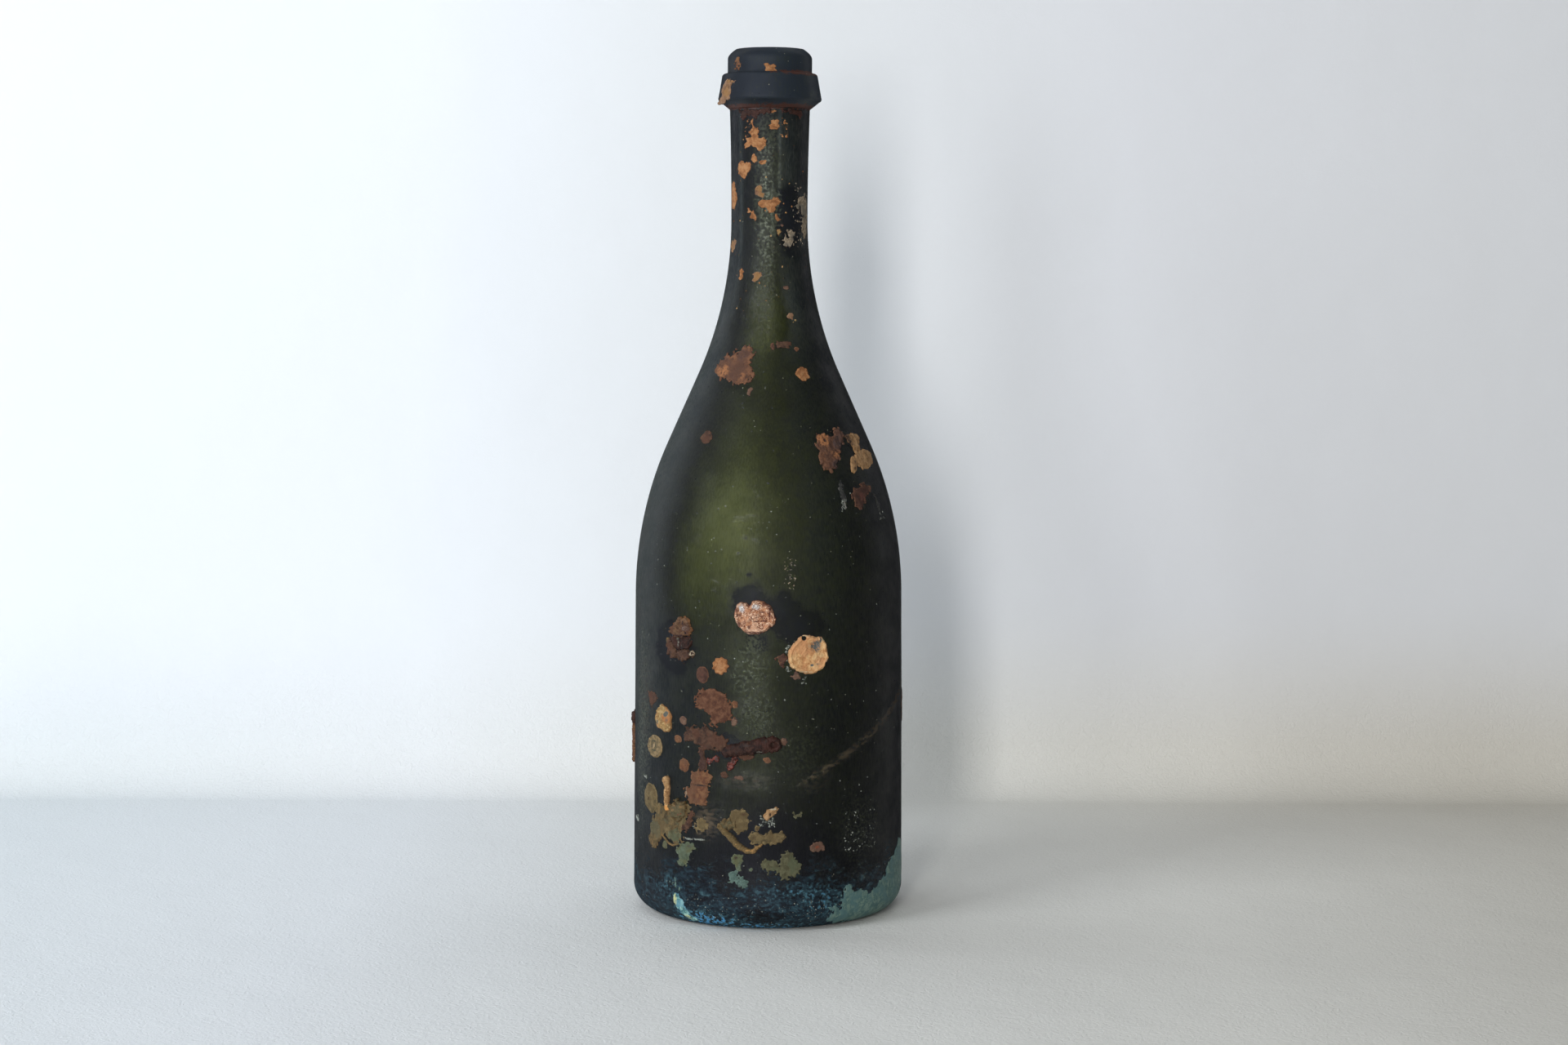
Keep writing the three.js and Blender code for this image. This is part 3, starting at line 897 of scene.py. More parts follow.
@dataclass(frozen=True)
class Growth:
    """One growth on the bottle. Sizes are in millimetres.

    Attributes:
        outline: its corners from its centre, or a tube's path with the tube's radii.
        ragged: how far its edge strays.
        spacing: width of its mesh's cells.
        skirt: how far its edge goes down into the glass.
        margin: how far the mesh's grid reaches past the outline.
        base: how far its underside lies below its edge.
        risen: height from which a cell stands clear of the glass.
    """

    name: str
    habit: Habit
    finish: CrustFinish
    centre: tuple[float, float]
    outline: Outline
    thick: float = 0.3
    ragged: float = 0.25
    marks: tuple[Mark, ...] = ()
    seat: Seat = Seat.GLASS
    spacing: float = 0.19
    skirt: float = 0.3
    margin: float = 0.8
    base: float = 0.08
    risen: float = 0.03

    @property
    def seed(self) -> int:
        """A number of its own for its noise."""
        return sum(ord(letter) * (place + 3) for place, letter in enumerate(self.name)) % 9973

    def field(self, ground: Ground) -> tuple[np.ndarray, np.ndarray, np.ndarray]:
        """The growth's height over the glass.

        Args:
            ground: the places.

        Returns:
            Heights, how near each place is to the rim, and how high it is for its place.
        """
        points, coarse, fine = ground.points, ground.coarse, ground.fine
        smooth = self.habit in (Habit.DISC, Habit.DOME, Habit.OYSTER, Habit.BARNACLE)
        inside = distance_inside(points, rounded(self.outline, 1 if smooth else 0))
        inside = inside + self.ragged * (1.3 * coarse + 3.4 * fine)
        for mark in self.marks:
            inside = inside - (2.2 * mark.sink * mark.at(points) if mark.sink > 1 else 0)
        rise = self.profile(ground, inside)
        for mark in self.marks:
            rise = rise - mark.sink * mark.at(points)
        height = np.where(inside > 0, np.maximum(rise, 0.02), 1.3 * inside)
        rim = np.exp(-np.clip(inside, 0, None) / 0.35)
        return height, rim, np.clip(0.5 + 0.4 * coarse + 0.25 * fine, 0, 1)

    def profile(self, ground: Ground, inside: np.ndarray) -> np.ndarray:
        """Height inside the outline, by habit.

        Args:
            ground: the places.
            inside: their distances inside the outline.

        Returns:
            One height for each place.
        """
        coarse, fine = ground.coarse, ground.fine
        depth = np.clip(inside, 0, None)
        edge = 1 - np.exp(-depth / 0.22)
        if self.habit is Habit.FILM:
            share = 1 + 0.3 * fine
        elif self.habit is Habit.DOME:
            edge = np.sqrt(np.clip(1 - (1 - depth / max(float(inside.max()), 0.3)) ** 2, 0, 1))
            share = 1 + 0.16 * coarse + 0.08 * fine
        elif self.habit is Habit.CRAG:
            ridges = 1 - np.abs(coarse) * 1.6
            share = np.clip(0.55 + 0.5 * ridges + 0.3 * fine, 0.2, 1.5)
        elif self.habit is Habit.DISC:
            share = 0.72 + 0.3 * hump(depth - 0.5, 0.3) + 0.2 * coarse + 0.14 * fine
        elif self.habit is Habit.OYSTER:
            share = ground.oyster(depth)
        elif self.habit is Habit.BARNACLE:
            share = ground.barnacle(depth)
        else:
            share = np.clip(0.85 + 0.35 * coarse + 0.25 * fine, 0.15, 1.4)
        return self.thick * edge * share

    def tube(self, ground: Ground) -> tuple[np.ndarray, np.ndarray, np.ndarray]:
        """A tube that lies on the glass along the growth's path.

        Args:
            ground: the places.

        Returns:
            The same as field.
        """
        points, coarse, fine = ground.points, ground.coarse, ground.fine
        path = np.array(self.outline, float)
        starts, runs = path[:-1], np.diff(path, axis=0)
        away = points[:, None, :] - starts[None, :, :2]
        flat_runs = runs[:, :2]
        lengths = np.linalg.norm(flat_runs, axis=1)
        share = np.clip((away * flat_runs).sum(-1) / (flat_runs**2).sum(-1), 0, 1)
        gap = np.linalg.norm(away - share[..., None] * flat_runs, axis=-1)
        radius = starts[:, 2] + share * runs[:, 2]
        slack = radius - gap
        nearest = slack.argmax(1)
        rows = np.arange(len(points))
        slack, radius = slack[rows, nearest], radius[rows, nearest]
        begun = np.concatenate([[0], np.cumsum(lengths)])
        along = begun[nearest] + share[rows, nearest] * lengths[nearest]
        bands = 0.05 * np.sin(along * 2 * math.pi / 0.8 + 2 * coarse)
        slack = slack + self.ragged * (0.5 * coarse + 0.8 * fine)
        round_top = np.sqrt(np.clip(radius**2 - (radius - slack) ** 2, 0, None)) * self.thick
        mouth = np.hypot(*(points - path[0, :2]).T) / path[0, 2]
        bore = np.exp(-((mouth / 0.42) ** 4)) * path[0, 2] * 0.7
        height = np.where(slack > 0, round_top * (1 + bands + 0.1 * fine) - bore, 1.5 * slack)
        rim = np.exp(-np.clip(slack, 0, None) / 0.2)
        return height, rim, np.clip(0.5 + 0.4 * coarse + 2.0 * bands, 0, 1)

    def build(self) -> bpy.types.Object:
        """Makes the growth's closed mesh on the glass and has it ride the bottle.

        Returns:
            The object.
        """
        tubular = self.habit is Habit.TUBE
        corners = np.array(self.outline, float)
        swell = corners[:, 2].max() if tubular else 0.0
        margin = self.margin + self.ragged * 1.4 + swell
        low, high = corners[:, :2].min(0) - margin, corners[:, :2].max(0) + margin
        counts = np.ceil((high - low) / self.spacing).astype(int) + 1
        lines = [np.linspace(low[side], high[side], counts[side]) for side in range(2)]
        across, up = np.meshgrid(*lines, indexing="ij")
        points = np.column_stack([across.ravel(), up.ravel()])
        ground = Ground.around(points, self.seed)
        height, rim, relief = self.tube(ground) if tubular else self.field(ground)
        shade = np.zeros(len(points))
        for mark in self.marks:
            shade += mark.shade * mark.at(points)
        kept = (height > -self.skirt).reshape(counts)
        cells = kept[:-1, :-1] & kept[1:, :-1] & kept[1:, 1:] & kept[:-1, 1:]
        cells = solid_patches(cells, (height > self.risen).reshape(counts)[:-1, :-1])
        across, up = (points + np.array(self.centre)).T
        sunk = np.full(len(points), -self.skirt - self.base)
        top, base = (self.seat.place(across, up, lift, self.centre[1]) for lift in (height, sunk))
        piece = slab(self.name, cells, top, base, {"rim": rim, "relief": relief, "mark": shade})
        return dressed(piece, self.finish, self.name)


def solid_patches(cells: np.ndarray, risen: np.ndarray) -> np.ndarray:
    """Drops the groups of cells that are too small to be crumbs, or lie wholly under the glass.

    Args:
        cells: which cells are used.
        risen: which cells stand above the glass.

    Returns:
        Which cells are left.
    """
    label = np.where(cells, np.arange(1, cells.size + 1).reshape(cells.shape), 0)
    while True:
        grown = label.copy()
        grown[1:] = np.maximum(grown[1:], label[:-1])
        grown[:-1] = np.maximum(grown[:-1], label[1:])
        grown[:, 1:] = np.maximum(grown[:, 1:], label[:, :-1])
        grown[:, :-1] = np.maximum(grown[:, :-1], label[:, 1:])
        grown = np.where(cells, grown, 0)
        if (grown == label).all():
            break
        label = grown
    names, sizes = np.unique(label[cells & risen], return_counts=True)
    return np.isin(label, names[sizes >= 3])


def slab(
    name: str, cells: np.ndarray, top: np.ndarray, base: np.ndarray, facts: dict[str, np.ndarray]
) -> bpy.types.Object:
    """A closed mesh between a top and a base grid, over the used cells only.

    Args:
        name: the object's name.
        cells: which cells of the grid are used.
        top: the top grid's points in millimetres.
        base: the base grid's points in millimetres.
        facts: numbers for the grid's points, kept as attributes.

    Returns:
        The object.
    """
    wide, high = cells.shape[0] + 1, cells.shape[1] + 1
    total = wide * high
    index = np.arange(total).reshape(wide, high)
    i, j = np.nonzero(cells)
    corners = [index[i, j], index[i + 1, j], index[i + 1, j + 1], index[i, j + 1]]
    quads = np.column_stack(corners)
    faces = [quads, quads[:, ::-1] + total]
    padded = np.pad(cells, 1)
    for (di, dj), start, end in (((-1, 0), 3, 0), ((1, 0), 1, 2), ((0, -1), 0, 1), ((0, 1), 2, 3)):
        open_side = ~padded[i + 1 + di, j + 1 + dj]
        a, b = corners[start][open_side], corners[end][open_side]
        faces.append(np.column_stack([b, a, a + total, b + total]))
    every = np.concatenate(faces)
    used, renumbered = np.unique(every, return_inverse=True)
    facts = {key: np.concatenate([values, values])[used] for key, values in facts.items()}
    points = np.concatenate([top, base])[used]
    return made_object(name, points, renumbered.reshape(every.shape).tolist(), facts)


GLASS = SeaWornGlass()
OYSTER = CrustFinish("oyster_shell", (98, 54, 41), (174, 123, 94), (236, 204, 176), (98, 58, 46),
    "shell_pink", (186, 132, 98), (218, 214, 212), (82, 46, 42), mottle=0.6, second_size=1.6,
    roughness=0.7, depth=0.14)
BARNACLE = CrustFinish("barnacle_plate", (176, 126, 82), (202, 154, 105), (214, 176, 128),
    (176, 138, 100), "shell_buff", (199, 143, 100), (191, 190, 162), (92, 96, 94), mottle=1.8,
    depth=0.1)
RUST = CrustFinish("red_crust", (75, 47, 36), (92, 61, 45), (108, 75, 57), (115, 77, 53),
    "rust_crust")
DARK_RUST = CrustFinish("dark_red_crust", (28, 18, 17), (46, 28, 24), (64, 42, 34), (62, 36, 28),
    "dark_crust", (62, 36, 30), (118, 117, 107), roughness=0.7, gloss=0.22, depth=0.12)
RED_BEADS = CrustFinish("red_beads", (49, 21, 17), (77, 32, 25), (116, 50, 37), (74, 37, 26),
    "dark_crust", roughness=0.5, gloss=0.5)
BROWN = CrustFinish("brown_crust", (58, 39, 34), (74, 51, 43), (88, 61, 50), (120, 85, 62),
    "rust_crust", pale=(102, 62, 55))
DUSKY = CrustFinish("dusky_crust", (54, 39, 33), (74, 53, 43), (90, 66, 52), (85, 62, 45),
    "rust_crust", (81, 54, 42))
ORANGE = CrustFinish("orange_flake", (122, 80, 50), (152, 102, 64), (168, 123, 84), (140, 93, 58),
    "orange_crust")
PALE_ORANGE = CrustFinish("pale_orange_crust", (128, 100, 64), (155, 125, 80), (176, 150, 107),
    (137, 98, 59), "ochre_crust", (161, 104, 63), (179, 164, 114), (89, 92, 86), mottle=1.2,
    depth=0.1)
PEACH = CrustFinish("peach_disc", (104, 76, 56), (129, 96, 71), (144, 115, 91), (135, 106, 85),
    "orange_crust", (140, 104, 64))
TERRACOTTA = CrustFinish("terracotta_crust", (87, 56, 42), (107, 71, 50), (119, 86, 60),
    (126, 91, 64), "orange_crust", (99, 70, 53))
KNOB = CrustFinish("knob_crust", (62, 44, 37), (96, 71, 53), (117, 90, 68), (129, 90, 55),
    "orange_crust", (88, 59, 46), (127, 117, 113), (41, 29, 35), depth=0.12)
OCHRE = CrustFinish("ochre_crust", (67, 58, 41), (91, 76, 50), (111, 93, 63), (112, 85, 52),
    "ochre_crust", (84, 80, 60), (133, 103, 69), (114, 55, 40), depth=0.1)
WORM = CrustFinish("worm_tube", (121, 87, 56), (170, 131, 89), (199, 163, 119), (125, 92, 60),
    "worm_tube", (148, 113, 75), (208, 146, 80), mottle=1.2, grain=0.35, depth=0.1)
OLD_WORM = CrustFinish("dusty_worm_tube", (75, 61, 41), (118, 92, 57), (157, 123, 80), (82, 71, 48),
    "worm_tube", (100, 85, 57), (176, 134, 80), mottle=1.2, grain=0.35, depth=0.1)
TAN = CrustFinish("warm_tan_crust", (126, 96, 66), (152, 118, 82), (168, 134, 98), (156, 119, 80),
    "ochre_crust")
MIXED = CrustFinish("mixed_crust", (76, 54, 44), (102, 70, 53), (122, 85, 62), (108, 76, 56),
    "rust_crust", (86, 61, 50), (156, 106, 70), (72, 57, 54), mottle=1.4)
SCRAPE = CrustFinish("grey_scrape", (36, 37, 37), (50, 51, 50), (74, 74, 71), (46, 47, 47),
    "tan_crust", None, (150, 147, 138), mottle=0.8, rim_share=0.3)
SAND = CrustFinish("sand_crust", (78, 68, 48), (98, 84, 57), (117, 101, 71), (122, 106, 75),
    "tan_crust", (92, 77, 52), (129, 113, 80), (71, 54, 39))
GREY_TAN = CrustFinish("grey_tan_crust", (90, 80, 59), (118, 101, 73), (142, 121, 89),
    (153, 131, 95), "tan_crust", None, (152, 132, 102), (70, 67, 54), mottle=1.2)
STONE = CrustFinish("stone_flake", (108, 97, 82), (137, 123, 103), (160, 146, 127), (118, 104, 86),
    "tan_crust", (105, 100, 91), mottle=1.0)
OLIVE = CrustFinish("olive_crust", (69, 66, 47), (84, 82, 61), (94, 93, 70), (97, 96, 75),
    "olive_crust", (80, 85, 64), (113, 110, 85), (94, 73, 52))
PALE_GREEN = CrustFinish("grey_green_crust", (66, 76, 61), (81, 91, 73), (94, 105, 88),
    (94, 101, 83), "pale_crust", (86, 87, 61))
PALE_BLUE = CrustFinish("blue_green_crust", (67, 87, 82), (82, 101, 93), (95, 118, 111),
    (92, 110, 100), "pale_crust")
BLUSH = CrustFinish("blush_crust", (80, 61, 54), (101, 77, 64), (115, 91, 75), (92, 71, 58),
    "rust_crust", (95, 69, 57), (126, 98, 78), (119, 65, 46))
LIME = CrustFinish("lime_crumbs", (90, 94, 88), (120, 124, 116), (156, 160, 150), (123, 126, 117),
    "pale_crust")
PATINA = CrustFinish("patina_film", (69, 98, 98), (88, 115, 109), (111, 135, 124), (65, 113, 124),
    "pale_crust", (78, 109, 111), mottle=1.6, roughness=0.65, depth=0.04, rim_share=0.5)
TEAL = CrustFinish("teal_film", (60, 96, 104), (90, 140, 140), (168, 206, 196), (70, 120, 146),
    "pale_crust", (94, 142, 158), (190, 192, 140), mottle=1.4, roughness=0.6, depth=0.04)


@dataclass(frozen=True)
class Patch:
    """A soft spot on the glass: where it is, how far it reaches and how strong it is."""

    degrees: float
    up: float
    reach: float
    rise: float
    weight: float

    def at(self, bearing: np.ndarray, z: np.ndarray) -> np.ndarray:
        """How strong the spot is at some places.

        Args:
            bearing: angles from the front, in radians.
            z: heights in millimetres.

        Returns:
            Values from 0 to the spot's weight.
        """
        away = (np.degrees(bearing) - self.degrees + 180) % 360 - 180
        return self.weight * np.exp(-((away / self.reach) ** 2) - ((z - self.up) / self.rise) ** 2)


@dataclass(frozen=True)
class Weathering:
    """Where the glass is thin, clean, hazed, stained, stippled, foamed, silted and bare; a few haze
    and stipple spots are painted highlights, and the finish's haze holds painted shade.
    """

    thin: tuple[Patch, ...] = (
        Patch(-22, 138, 24, 24, 1.6), Patch(-158, 140, 30, 30, 1.2), Patch(-5, 75, 13, 40, 0.8),
        Patch(12, 210, 36, 16, 2.0), Patch(-38, 118, 16, 16, 0.8), Patch(55, 90, 40, 90, -0.9),
        Patch(180, 100, 40, 60, 0.5),
    )
    clean: tuple[Patch, ...] = (
        Patch(-14, 165, 30, 60, 0.5), Patch(-21, 138, 25, 26, 0.35), Patch(-4, 72, 15, 34, 0.5),
        Patch(-8, 42, 26, 16, 0.3), Patch(-9, 211, 25, 18, 0.7), Patch(-24, 122, 22, 14, 0.1),
        Patch(-36, 118, 14, 16, 0.35), Patch(-5, 255, 30, 24, 0.25), Patch(180, 120, 85, 110, 0.75),
    )
    # The haze spots at 15 and 4 degrees on the neck are painted highlight lines, and the one at -47
    # degrees is painted sheen on its left edge; the others are dullness of the worn glass.
    haze: tuple[Patch, ...] = (
        Patch(-78, 150, 28, 70, 0.46), Patch(-100, 190, 50, 60, 0.3), Patch(180, 110, 60, 100, 0.3),
        Patch(-46, 80, 24, 60, 0.08), Patch(-71, 55, 9, 60, 0.28), Patch(50, 245, 34, 40, 0.2),
        Patch(16, 160, 24, 55, 0.09), Patch(26, 260, 20, 24, 0.35), Patch(15, 262, 2.6, 22, 0.7),
        Patch(4, 241, 2.6, 20, 0.7), Patch(-47, 255, 4, 40, 0.4), Patch(26, 211, 18, 14, 0.4),
        Patch(-56, 212, 22, 26, 0.14), Patch(24, 128, 18, 50, 0.07),
    )
    stain: tuple[Patch, ...] = (
        Patch(-7, 112.5, 10, 8, 0.58), Patch(4, 109, 12, 8.5, 0.62), Patch(13, 104, 11, 8, 0.66),
        Patch(-5, 99, 7, 5.5, 0.45), Patch(-43, 96, 11, 9, 0.8), Patch(30, 242, 24, 10, 1.1),
        Patch(-8, 122, 2.6, 1.6, 0.4), Patch(-10, 134, 2, 1.2, 0.32), Patch(-17, 64, 7, 5, 0.8),
    )
    # The spots at -8, -5 and -3 degrees on the wall and at -5 degrees on the neck are painted
    # highlights, a satin window reflection; the others are stipple of the worn glass.
    stipple_and_highlight: tuple[Patch, ...] = (
        Patch(-8, 90, 8, 10, 1.0), Patch(-5, 76, 8, 9, 0.9), Patch(-3, 66, 7, 7, 0.5),
        Patch(-5, 246, 14, 28, 1.95), Patch(10, 60, 14, 14, 0.35), Patch(42, 33, 14, 14, 0.35),
        Patch(150, 60, 40, 40, 0.5), Patch(-120, 90, 40, 60, 0.4), Patch(-67, 66, 9, 36, 0.4),
    )
    foam: tuple[Patch, ...] = (
        Patch(10, 14, 28, 4, 0.75), Patch(-46, 13, 13, 8, 0.65), Patch(23, 11, 12, 7, 0.95),
        Patch(-27, 2.8, 16, 3.2, 1.9), Patch(-8, 1, 30, 2.2, 1.6), Patch(110, 12, 40, 6, 0.5),
        Patch(-140, 12, 50, 6, 0.5),
    )
    silt: tuple[Patch, ...] = (
        Patch(-26, 37.5, 6, 6, 1.0), Patch(-9, 52, 12, 3, 0.5), Patch(20, 52, 8, 6, 0.35),
        Patch(-64, 76, 7, 16, 0.35),
    )
    bare: tuple[Patch, ...] = (
        Patch(0, 5.5, 15, 2.6, 0.6),
    )
    bloom_height: float = 26.0
    film_everywhere: float = 0.86
    haze_everywhere: float = 0.03
    finish_film: float = 1.0
    finish_haze_and_shade: float = 0.7
    scratch_up: float = 52.0
    scratch_turn: float = 16.0
    scratch_start: float = 8.0
    scratch_end: float = 95.0
    scratch_slope: float = 0.42
    scratch_silt: float = 0.75
    seam_rust: float = 0.75

    @staticmethod
    def total(patches: tuple[Patch, ...], bearing: np.ndarray, z: np.ndarray) -> np.ndarray:
        """The strongest of some spots at each place."""
        return np.max([patch.at(bearing, z) for patch in patches], axis=0)

    @staticmethod
    def combined(patches: tuple[Patch, ...], bearing: np.ndarray, z: np.ndarray) -> np.ndarray:
        """The sum of some spots at each place."""
        return np.sum([patch.at(bearing, z) for patch in patches], axis=0)

    def thinning(self, bearing: np.ndarray, z: np.ndarray) -> np.ndarray:
        """How much the blown wall is thinner than its usual thickness, in millimetres."""
        return self.combined(self.thin, bearing, z)

    def scratch(self, bearing: np.ndarray, z: np.ndarray) -> np.ndarray:
        """How much silt lies in the long slanting scratch on the right.

        Args:
            bearing: angles from the front.
            z: heights.

        Returns:
            Values from 0 to 1.
        """
        degrees = np.degrees(bearing)
        line = z - self.scratch_up - (degrees - self.scratch_turn) * self.scratch_slope
        ends = ramped(degrees - self.scratch_start, 10), ramped(self.scratch_end - degrees, 10)
        return self.scratch_silt * (hump(line, 1.6) * ends[0] * ends[1])

    def layers(
        self, bearing: np.ndarray, z: np.ndarray, outside: np.ndarray
    ) -> dict[str, np.ndarray]:
        """All the layers at the glass mesh's points.

        Args:
            bearing: angles from the front.
            z: heights.
            outside: 1 on the outer surface and 0 on the inner one.

        Returns:
            Numbers from 0 to 1 by the layer's name.
        """
        finish = z > SHAPE.rim_foot
        film = self.film_everywhere - self.combined(self.clean, bearing, z)
        haze = self.haze_everywhere + self.combined(self.haze, bearing, z)
        # On the finish the haze rises from left to right round the bearing: painted shade that
        # darkens its left side and lightens its right.
        finish_haze_and_shade = self.finish_haze_and_shade * (1 + 0.55 * np.sin(bearing))
        groove = hump(z - SHAPE.rim_top + 0.2, 0.9) * np.clip(0.35 + np.sin(bearing), 0, 1)
        seam = hump(z - SHAPE.rim_foot - 0.3, 1.3) * self.seam_rust
        bloom = 1.15 - z / self.bloom_height - self.total(self.bare, bearing, z)
        facts = {
            "film": np.clip(np.where(finish, self.finish_film, film), 0, 1),
            "haze": np.clip(np.where(finish, finish_haze_and_shade, haze), 0, 0.95),
            "rust": np.maximum(groove, seam),
            "silt": np.maximum(self.total(self.silt, bearing, z), self.scratch(bearing, z)),
            "foam": self.total(self.foam, bearing, z),
            "stain": self.total(self.stain, bearing, z),
            "stipple_and_highlight": self.total(self.stipple_and_highlight, bearing, z) * ~finish,
            "bloom": np.clip(bloom, 0, 1),
        }
        return {"worn": outside} | {name: values * outside for name, values in facts.items()}


WEAR = Weathering()


def arc(
    radius: float, z: float, size: float, start: float, end: float, steps: int
) -> list[tuple[float, float]]:
    """Points of an arc in the plane of radius and height.

    Args:
        radius: of the arc's middle from the axis.
        z: height of its middle.
        size: the arc's own radius.
        start: first angle, in radians from straight out.
        end: last angle.
        steps: how many steps.

    Returns:
        Radius and height of each point.
    """
    turns = [start + (end - start) * step / steps for step in range(steps + 1)]
    return [(radius + size * math.cos(turn), z + size * math.sin(turn)) for turn in turns]


def straight(start: Sequence[float], end: Sequence[float], steps: int) -> list[np.ndarray]:
    """Points of a straight line from its start, without its end."""
    start, end = np.array(start), np.array(end)
    return [start + (end - start) * step / steps for step in range(steps)]


def sided(points: Iterable[Sequence[float]], outside: float) -> Section:
    """Adds 1 for outside, or 0 for inside, to points of radius and height."""
    return [(float(radius), float(z), outside) for radius, z in points]


@dataclass(frozen=True)
class Places:
    """Some points of a turned piece: 1 in `outside` is for those on its outer surface."""

    radius: np.ndarray
    bearing: np.ndarray
    z: np.ndarray
    outside: np.ndarray


@dataclass
class TurnedGlass:
    """A piece of glass turned from its outline, with more points on its front half."""

    name: str
    node: str
    front_steps: int
    back_steps: int

    def outline(self) -> Section:
        """The section, running up the outside. It closes on itself or on the axis.

        Returns:
            Radius, height and 1 for outside of each point.
        """
        raise NotImplementedError

    def stray(self, places: Places) -> np.ndarray:
        """How far hot glass strayed from a true body of revolution.

        Args:
            places: the points.

        Returns:
            Distances outwards.
        """
        raise NotImplementedError

    def build(self) -> bpy.types.Object:
        """Makes the mesh with the weathering's layers, in place of the CAD node.

        Returns:
            The object.
        """
        rings = np.array(self.outline(), float)
        on_axis = rings[0, 0] < 1e-6 and rings[-1, 0] < 1e-6
        poles = rings[[0, -1], 1]
        rings = rings[1:-1] if on_axis else rings
        near = np.linspace(-math.pi / 2, math.pi / 2, self.front_steps, endpoint=False)
        far = np.linspace(math.pi / 2, math.pi * 1.5, self.back_steps, endpoint=False)
        angles = np.concatenate([near, far])
        count, steps = len(rings), len(angles)
        radius, z, outside = (np.repeat(column, steps) for column in rings.T)
        bearing = np.tile(angles, count)
        reach = radius + self.stray(Places(radius, bearing, z, outside))
        points = np.column_stack([reach * np.sin(bearing), -reach * np.cos(bearing), z])
        facts = WEAR.layers(bearing, z, outside)
        index = np.arange(count * steps).reshape(count, steps)
        beside = np.roll(index, -1, axis=1)
        above, above_beside = np.roll(index, -1, axis=0), np.roll(beside, -1, axis=0)
        quads = np.stack([index, beside, above_beside, above], axis=-1)
        faces = quads[:count - 1 if on_axis else count].reshape(-1, 4).tolist()
        if on_axis:
            first, last = count * steps, count * steps + 1
            points = np.concatenate([points, [(0, 0, height) for height in poles]])
            faces += [[first, b, a] for a, b in zip(index[0].tolist(), beside[0].tolist())]
            faces += [[last, a, b] for a, b in zip(index[-1].tolist(), beside[-1].tolist())]
            facts = {key: np.append(values, values[[0, -1]]) for key, values in facts.items()}
        return dressed(made_object(self.name, points, faces, facts), GLASS, self.node)


@dataclass
class GlassBody(TurnedGlass):
    """The blown bottle: heel, punt, wall, shoulder and neck."""

    name: str = "blown_glass"
    node: str = "glass_body"
    front_steps: int = 150
    back_steps: int = 84
    outer_rows: int = 250
    inner_rows: int = 90
    punt_rows: int = 30
    punt_inner_rows: int = 18

    def outline(self) -> Section:
        """The whole wall's outline, from the punt round the outside to the inside of the punt.

        Returns:
            Radius, height and 1 for outside of each point.
        """
        shape = SHAPE
        heel = shape.body_radius - shape.heel_radius
        rest = heel - shape.resting_width
        under = [rest * i / self.punt_rows for i in range(self.punt_rows + 1)]
        points = sided(((r, shape.punt_depth * self.bell(r, rest)) for r in under), 1.0)
        points += sided(arc(heel, shape.heel_radius, shape.heel_radius, -math.pi / 2, 0, 14), 1.0)
        heights = np.linspace(shape.heel_radius, shape.rim_foot + 1.0, self.outer_rows)[1:]
        points += sided(zip(shape.outer_radius(heights), heights), 1.0)
        top = shape.height - shape.lip_overlap
        cone_top = shape.rim_foot + shape.neck_end_cone
        points += sided([(shape.neck_end_radius, z) for z in (cone_top, top)], 0.0)
        foot = shape.floor_thickness + shape.trough_radius
        heights = np.linspace(top, foot, self.inner_rows)
        inner = shape.side_radius(heights, shape.glass_wall)
        inner[heights > shape.neck_foot] = shape.bore
        points += sided(zip(inner, heights), 0.0)
        trough = shape.body_radius - shape.glass_wall - shape.trough_radius
        points += sided(arc(trough, foot, shape.trough_radius, 0, -math.pi / 2, 8)[1:], 0.0)
        rise = shape.punt_depth + shape.punt_wall - shape.floor_thickness
        rows = range(1, self.punt_inner_rows + 1)
        over = [trough * (1 - i / self.punt_inner_rows) for i in rows]
        floor = shape.floor_thickness
        points += sided(((r, floor + rise * self.bell(r, trough)) for r in over), 0.0)
        return points

    @staticmethod
    def bell(distance: float, radius: float) -> float:
        """Half a wave: 1 on the axis, and falling smoothly to 0 at `radius`."""
        return 0.5 + 0.5 * math.cos(math.pi * distance / radius)

    def stray(self, places: Places) -> np.ndarray:
        """The blown wall's unevenness: a faint wobble outside, thin and thick places inside.

        Args:
            places: the points.

        Returns:
            Distances outwards.
        """
        bearing, z = places.bearing, places.z
        fade = ramped(z - 22, 14) * ramped(SHAPE.neck_foot + 6 - z, 12)
        inside = WEAR.thinning(bearing, z) * fade
        return np.where(places.outside > 0.5, SHAPE.wobble(bearing, z), inside)


@dataclass
class TooledGlass(TurnedGlass):
    """A piece that was laid on hot and shaped with the finishing tool.

    Attributes:
        seed: a number of its own for the noise of the tool's marks.
        tool_depth: how deep the marks are.
        tooled_from: the radius from which they set in.
    """

    seed: int
    tool_depth: float
    tooled_from: float

    def stray(self, places: Places) -> np.ndarray:
        """The marks that the tool left, on the outer surface only.

        Args:
            places: the points.

        Returns:
            Distances outwards.
        """
        ring = [16 * np.sin(places.bearing), 16 * np.cos(places.bearing)]
        around = np.column_stack([*ring, places.z])
        broad = Noise(self.seed).rough(around, 9.0, 2)
        marks = broad + 0.33 * Noise(self.seed + 1).rough(around, 2.4, 2)
        tooled = ramped(places.radius - self.tooled_from, 2.5)
        return places.outside * tooled * self.tool_depth * marks


